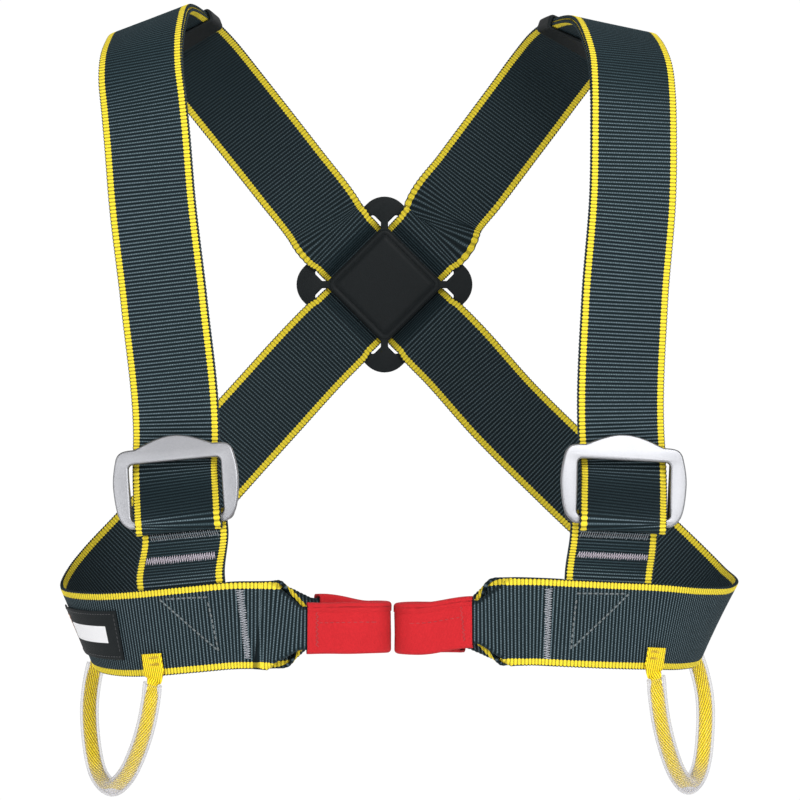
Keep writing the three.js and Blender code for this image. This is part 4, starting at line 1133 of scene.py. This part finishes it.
def make_plate(name, outlines, thick, rim, basis, middle, material, mirror=1, segments=4):
    """A flat plate with rounded edges, from an outline and its holes, set in the part."""
    curve = bpy.data.curves.new(name, "CURVE")
    curve.dimensions = "2D"
    curve.fill_mode = "BOTH"
    curve.extrude = thick / 2 - rim
    curve.bevel_depth = rim
    curve.bevel_resolution = segments
    curve.offset = -rim
    for outline in outlines:
        spline = curve.splines.new("POLY")
        spline.points.add(len(outline) - 1)
        spline.points.foreach_set("co", [v for x, y in outline for v in (x, y, 0.0, 1.0)])
        spline.use_cyclic_u = True
    maker = link(name + "_curve", curve)
    bpy.context.view_layer.update()
    mesh = bpy.data.meshes.new_from_object(maker.evaluated_get(bpy.context.evaluated_depsgraph_get()))
    bpy.data.objects.remove(maker)
    bpy.data.curves.remove(curve)

    points = np.zeros(len(mesh.vertices) * 3)
    mesh.vertices.foreach_get("co", points)
    points = (points.reshape(-1, 3) @ basis.T + middle) * (MM * mirror, MM, MM)
    mesh.vertices.foreach_set("co", points.ravel())
    if mirror < 0:
        mesh.flip_normals()
    mesh.materials.clear()
    mesh.materials.append(material)
    mesh.polygons.foreach_set("use_smooth", [True] * len(mesh.polygons))
    mesh.name = name
    made = link(name, mesh)
    made.modifiers.new("weld", "WELD").merge_threshold = 0.02 * MM
    return made


def outer_outline():
    """Outline and window of the outer frame."""
    half, low, top = BUCKLE_WIDTH / 2, -BOTTOM_BAR / 2, BOTTOM_BAR / 2 + WINDOW_HEIGHT
    height = top + TOP_BAR - low
    # Curves of the right half, from the top down: share of the half width, of the height and of the arch
    bends = [
        [(0, 1, 1), (0.25, 1, 1), (0.5, 1.04, 0), (0.62, 1, 0)],
        [(0.62, 1, 0), (0.78, 1, 0), (0.9, 1, 0), (0.94, 0.88, 0)],
        [(0.94, 0.88, 0), (0.99, 0.72, 0), (1, 0.63, 0), (1, 0.54, 0)],
        [(1, 0.54, 0), (0.985, 0.26, 0), (0.94, 0.13, 0), (0.87, 0.07, 0)],
        [(0.87, 0.07, 0), (0.82, 0.03, 0), (0.78, 0, 0), (0.72, 0, 0)],
    ]
    place = lambda x, y, arch: (x * half, low + y * height + arch * ARCH_HEIGHT)
    right = np.vstack([bezier([place(*row) for row in bend]) for bend in bends] + [place(*bends[-1][-1])])
    outline = np.vstack([right, right[:0:-1] * (-1, 1)]).tolist()
    return [outline, rounded_polygon(box(WINDOW_WIDTH / 2, -low, top), [WINDOW_CORNER] * 4)]


def inner_outline():
    """Outline and window of the inner frame."""
    half, low, high = INNER_WIDTH / 2, -INNER_BAR / 2, -INNER_BAR / 2 + INNER_HEIGHT
    window = box(half - INNER_LEG, low + INNER_BAR, high - INNER_BAR)
    return [
        rounded_polygon(box(half, low, high), [INNER_CORNER] * 4),
        rounded_polygon(window, [INNER_CORNER / 5] * 4, 4),
    ]


def make_frames(side, seat, shift):
    """The two steel frames of a shoulder's buckle."""
    lean = math.atan2(OUTER_TOP_Y - OUTER_BAR_Y, INNER_HEIGHT - INNER_BAR / 2)
    c, s = math.cos(lean), math.sin(lean)
    basis = np.stack([seat.inward, seat.upward, seat.outward], axis=1)
    tilt = basis @ np.array(((1, 0, 0), (0, c, s), (0, -s, c)))
    at = seat.point(0, 0, OUTER_BAR_Y)
    made = make_plate(f"outer_frame_{side.shoulder}", outer_outline(), BUCKLE_THICK, 1.1, tilt, at,
                      STEEL, side.mirror)
    piece(made, "buckle_steel", f"buckle_outer_{side.shoulder}")
    at = seat.point(shift, 0, INNER_BAR_Y)
    made = make_plate(f"inner_frame_{side.shoulder}", inner_outline(), INNER_THICK, 1.2, basis, at,
                      DARK_STEEL, side.mirror)
    piece(made, "frame_steel", f"buckle_inner_{side.shoulder}")


def make_back_plate():
    """Back plate on its corner: four slots, necks to its corners and a raised pad."""
    outline = rounded_polygon(box(PLATE_HALF, -PLATE_HALF, PLATE_HALF), [PLATE_CORNER] * 4, 12)
    reach = SLOT_LENGTH / 2
    neck = NECK_WIDTH / math.sqrt(2)
    hole = np.array(rounded_polygon([
        (-(SLOT_INNER - neck), SLOT_INNER), (SLOT_INNER - neck, SLOT_INNER), (reach, reach + neck),
        (reach, SLOT_OUTER), (-reach, SLOT_OUTER), (-reach, reach + neck),
    ], [1.2, 1.2, 0.6, 1.6, 1.6, 0.6], 5))
    quarters = [((1, 0), (0, 1)), ((0, -1), (1, 0)), ((-1, 0), (0, -1)), ((0, 1), (-1, 0))]
    holes = [(hole @ np.array(quarter).T).tolist() for quarter in quarters]
    turn = math.sqrt(0.5)
    spin = np.array(((turn, -turn, 0), (turn, turn, 0), (0, 0, 1)))
    basis = np.array(((1, 0, 0), (0, 0, -1), (0, 1, 0))) @ spin
    middle = np.array((PLATE_MIDDLE[0] * HALF_WIDTH, PLATE_Y + PLATE_THICK / 2, PLATE_MIDDLE[1] * BAND_DROP))
    made = make_plate("plate_moulding", [outline, *holes], PLATE_THICK, 0.7, basis, middle, MOULDED,
                      segments=3)
    piece(made, "moulded", "back_plate")

    # The pad is a low pillow with a sunk line round its rim: distance from its edge, share of its height
    profile = [(0.0, 0.0), (0.0, 0.55), (0.25, 0.82), (0.7, 0.97), (1.4, 1.0), (2.4, 1.0), (2.75, 0.78),
               (3.25, 0.78), (3.6, 1.0), (6, 1.02), (10, 1.04), (14, 1.05), (18, 1.05)]
    rings = []
    for inset, height in profile:
        half = PAD_HALF - inset
        ring = rounded_polygon(box(half, -half, half), [max(0.8, PAD_CORNER - inset)] * 4)
        rings += [(x, y, (PLATE_THICK / 2 + PAD_RISE) * height) for x, y in ring]
    size = len(rings) // len(profile)
    points = (np.array(rings) @ basis.T + middle) * MM
    faces = ring_faces(len(profile), size, flip=True).tolist() + [list(range(len(rings) - size, len(rings)))]
    piece(add_mesh("plate_pad", points.tolist(), faces, MOULDED), "moulded")


# Gear loops and label


def make_gear_loop(side, band):
    """Yellow webbing sewn to the band by its two tabs, in a clear tube."""
    front_at = band.find_x(side.gear_place)
    lift = WEB_THICK / 2 + 2.5 * GAP + CORD_THICK / 2
    edge = WEB_WIDTH / 2
    tab_point = lambda at, down: surface(band, lift)(at, down)[0]
    front_tab = tab_point(front_at, edge + TAB_TURN)
    rear_tab = tab_point(front_at - GEAR_SPAN, edge + TAB_TURN)
    chord = rear_tab - front_tab
    outward = unit(np.array((chord[1], -chord[0], 0.0)))
    if outward[0] < 0:
        outward = -outward

    def tab(at, sign):
        tangent = band.sample(at).tangent[0] * sign
        rows = []
        for down, wide in ((-TAB_HEIGHT, 1), (-TAB_HEIGHT / 2, 1), (-TAB_TURN, 1), (TAB_TURN, 0.75)):
            rows.append(station(tab_point(at, edge + down), tangent, wide * TAB_WIDTH, CORD_THICK))
        return rows

    hanging = []
    for share, drop, out in GEAR_LINE:
        point = front_tab + chord * share + outward * (out * side.gear_out)
        point[2] -= drop * side.gear_drop
        hanging.append(station(point, -outward, CORD_WIDTH + 0.8, CORD_THICK))
    run = Run.through(tab(front_at, 1) + hanging + tab(front_at - GEAR_SPAN, -1)[::-1])
    at = np.arange(0, run.length, 0.6)
    s = run.sample(at)

    # Inside the tube the webbing turns its flat side to the front
    rings, us = [], []
    for i in range(len(at)):
        inside = float(smooth((front_tab[2] - TUBE_END - s.point[i][2]) / 25))
        flat = np.cross((0.0, -1.0, 0.0), s.tangent[i])
        turn = math.atan2(flat @ s.normal[i], flat @ s.across[i])
        turn = (turn + math.pi / 2) % math.pi - math.pi / 2
        twist = inside * 0.85 * turn * min(1.0, 2 * abs(s.tangent[i][2]))
        c, w = math.cos(twist), math.sin(twist)
        axes = np.array(((c, w), (-w, c))) @ np.stack([s.across[i], s.normal[i]])
        columns = np.array((-0.25, 0, 0.25)) * s.width[i]
        ring, _ = box_section(s.width[i], s.thick[i], corner=0.55, steps=3, extra=columns)
        rings.append(s.point[i] + ring @ axes)
        us.append(ring[:, 0])
    rings, uv, size = np.array(rings), cloth_uv(np.array(us), at), len(ring)
    # Each end is closed between the points of its two long sides
    j = np.arange(-4, 6)
    end = np.stack([j, j + 1, 12 - j, 13 - j], axis=1) % size
    body = Body()
    body.add(rings, uv, ring_faces(len(at), size))
    body.add(rings[[0, -1]], uv[[0, -1]], np.vstack([end, (end + size)[:, ::-1]]))
    body.make(side, f"gear_strap_{side.end}", YELLOW, "yellow_fabric", f"gear_webbing_{side.end}")

    below = [np.nonzero(run.point[:, 2] < top[2] - TUBE_END)[0] for top in (front_tab, rear_tab)]
    at = np.linspace(run.at[below[0][0]], run.at[below[1][-1]], 110)
    s = run.sample(at)
    angles = 2 * math.pi * np.arange(28) / 28
    circle = s.across[:, None] * np.sin(angles)[:, None] + s.normal[:, None] * np.cos(angles)[:, None]
    body = Body()
    outer, inner = (s.point[:, None] + circle * width / 2 for width in (TUBE_OUTER, TUBE_INNER))
    tube(body, outer, inner, angles * TUBE_OUTER / 2, at)
    body.make(side, f"gear_sheath_{side.end}", CLEAR, "clear_tube", f"gear_tube_{side.end}")

    # Tabs are sewn down with a few short rows
    where = surface(band, lift + CORD_THICK / 2 - 0.05)
    stitches = []
    for place in (front_at, front_at - GEAR_SPAN):
        for down in (edge - TAB_HEIGHT + 2, edge - TAB_HEIGHT + 5.5):
            ends = (place - 4.6, down), (place + 4.6, down)
            stitches += zigzag(where, *ends, width=1.7, pitch=0.55, seed=int(down))
    threads(side, f"tab_stitches_{side.end}", stitches, 0.2, OCHRE_THREAD, "yellow_fabric")


def make_label(side, band):
    """Woven label on the band's side, with a sewn border and no words."""
    start = band.find_x(LABEL_PLACE)
    lift = WEB_THICK / 2 + 1.5 * GAP + LABEL_THICK / 2
    border = 1.6
    along = np.linspace(0, LABEL_LENGTH, 63)
    ends = np.minimum(along, LABEL_LENGTH - along)[:, None]
    u = np.array((-13, -12.8, -12.2, -11.6, -11, -6, 0, 6, 11, 11.6, 12.2, 12.8, 13.0)) * LABEL_HEIGHT / 26
    full = np.array((0.4, 0.8, 1, 1, 0.72, 0.7, 0.7, 0.7, 0.72, 1, 1, 0.8, 0.4))
    full = full + 0.3 * (ends < border) * (np.abs(u) < 11.3)
    full = full * np.where(ends < 0.4, 0.5, 1.0)
    s = band.sample(start - along)
    centre = s.point[:, None] + s.across[:, None] * u[None, :, None] + s.normal[:, None] * lift
    body = Body()
    flat = np.ones(len(along))
    ribbon(body, centre[::-1], LABEL_LENGTH - along[::-1], flat, u, full[::-1], LABEL_THICK, depth=0.0)
    body.make(side, "label_cloth", LABEL, "label_fabric", "label_patch")

    low, high, edge = start - LABEL_LENGTH + border, start - border, LABEL_HEIGHT / 2 - border
    corners = [(low, -edge), (high, -edge), (high, edge), (low, edge)]
    where = surface(band, lift + LABEL_THICK / 2 - 0.12)
    stitches = []
    for a, b in zip(corners, corners[1:] + corners[:1]):
        stitches += dashes(where, a, b, length=1.7, pitch=2.3)
    threads(side, "label_stitches", stitches, 0.2, BLACK_THREAD, "label_fabric")


made = [(side, *make_webbing(side)) for side in SIDES]
for i, (side, band, seat) in enumerate(made):
    other, _, other_seat = made[1 - i]
    make_frames(side, seat, other.stub_shift / 2)
    make_stub(side, band, other_seat)
    make_gear_loop(side, band)
make_label(*made[1][:2])
make_back_plate()


# Stage


def make_floor():
    """Pale floor well below the harness, which is held up."""
    n = Nodes("floor")
    n.set(Base_Color=n.mix(n.noise(3.0, 2.0), (0.88, 0.88, 0.89), (0.92, 0.92, 0.92)), Roughness=0.9,
          Emission_Color=(1.0, 1.0, 1.0, 1.0), Emission_Strength=0.3, Specular_IOR_Level=0.0)
    size, height = 2.2, -0.75
    points = [(x, y, height) for x, y in box(size, -size, size)]
    floor = add_mesh("floor", points, [(0, 1, 2, 3)], n.material)


def add_light(name, place, size, power):
    """A rectangular light that shines on the harness."""
    light = bpy.data.lights.new(name, "AREA")
    light.shape = "RECTANGLE"
    light.size, light.size_y = size
    light.energy = power
    made = link(name, light)
    made.location = place
    made.rotation_euler = (Vector((0, 0, -0.2)) - Vector(place)).to_track_quat("-Z", "Y").to_euler()


def make_studio():
    """White walls all round under a darker ceiling, and three lights."""
    world = bpy.data.worlds.new("studio")
    world.use_nodes = True
    nodes, links = world.node_tree.nodes, world.node_tree.links
    back = nodes["Background"]
    back.inputs["Color"].default_value = (1.0, 1.0, 1.0, 1.0)
    split = nodes.new("ShaderNodeSeparateXYZ")
    links.new(nodes.new("ShaderNodeTexCoord").outputs["Generated"], split.inputs[0])
    ramp = nodes.new("ShaderNodeMapRange")
    ramp.interpolation_type = "SMOOTHSTEP"
    for key, value in {"From Min": 0.28, "From Max": 0.6, "To Min": 1.02, "To Max": 0.16}.items():
        ramp.inputs[key].default_value = value
    links.new(split.outputs[2], ramp.inputs["Value"])
    links.new(ramp.outputs["Result"], back.inputs["Strength"])
    bpy.context.scene.world = world
    add_light("key", (0.8, -1.9, 1.0), (1.1, 0.8), 50)
    add_light("fill", (-1.3, -1.9, 0.1), (1.0, 1.0), 19)
    add_light("top", (0, 0.4, 1.6), (1.2, 0.8), 9)


def make_camera():
    camera = bpy.data.cameras.new("camera")
    camera.lens = 219.9
    camera.sensor_width = 36
    camera.clip_end = 60
    made = link("camera", camera)
    made.location = (0, -2.585, -0.2)
    made.rotation_euler = (math.pi / 2, 0, 0)
    bpy.context.scene.camera = made


make_floor()
make_studio()
make_camera()
bpy.context.scene.view_settings.view_transform = "Standard"

bpy.context.view_layer.update()
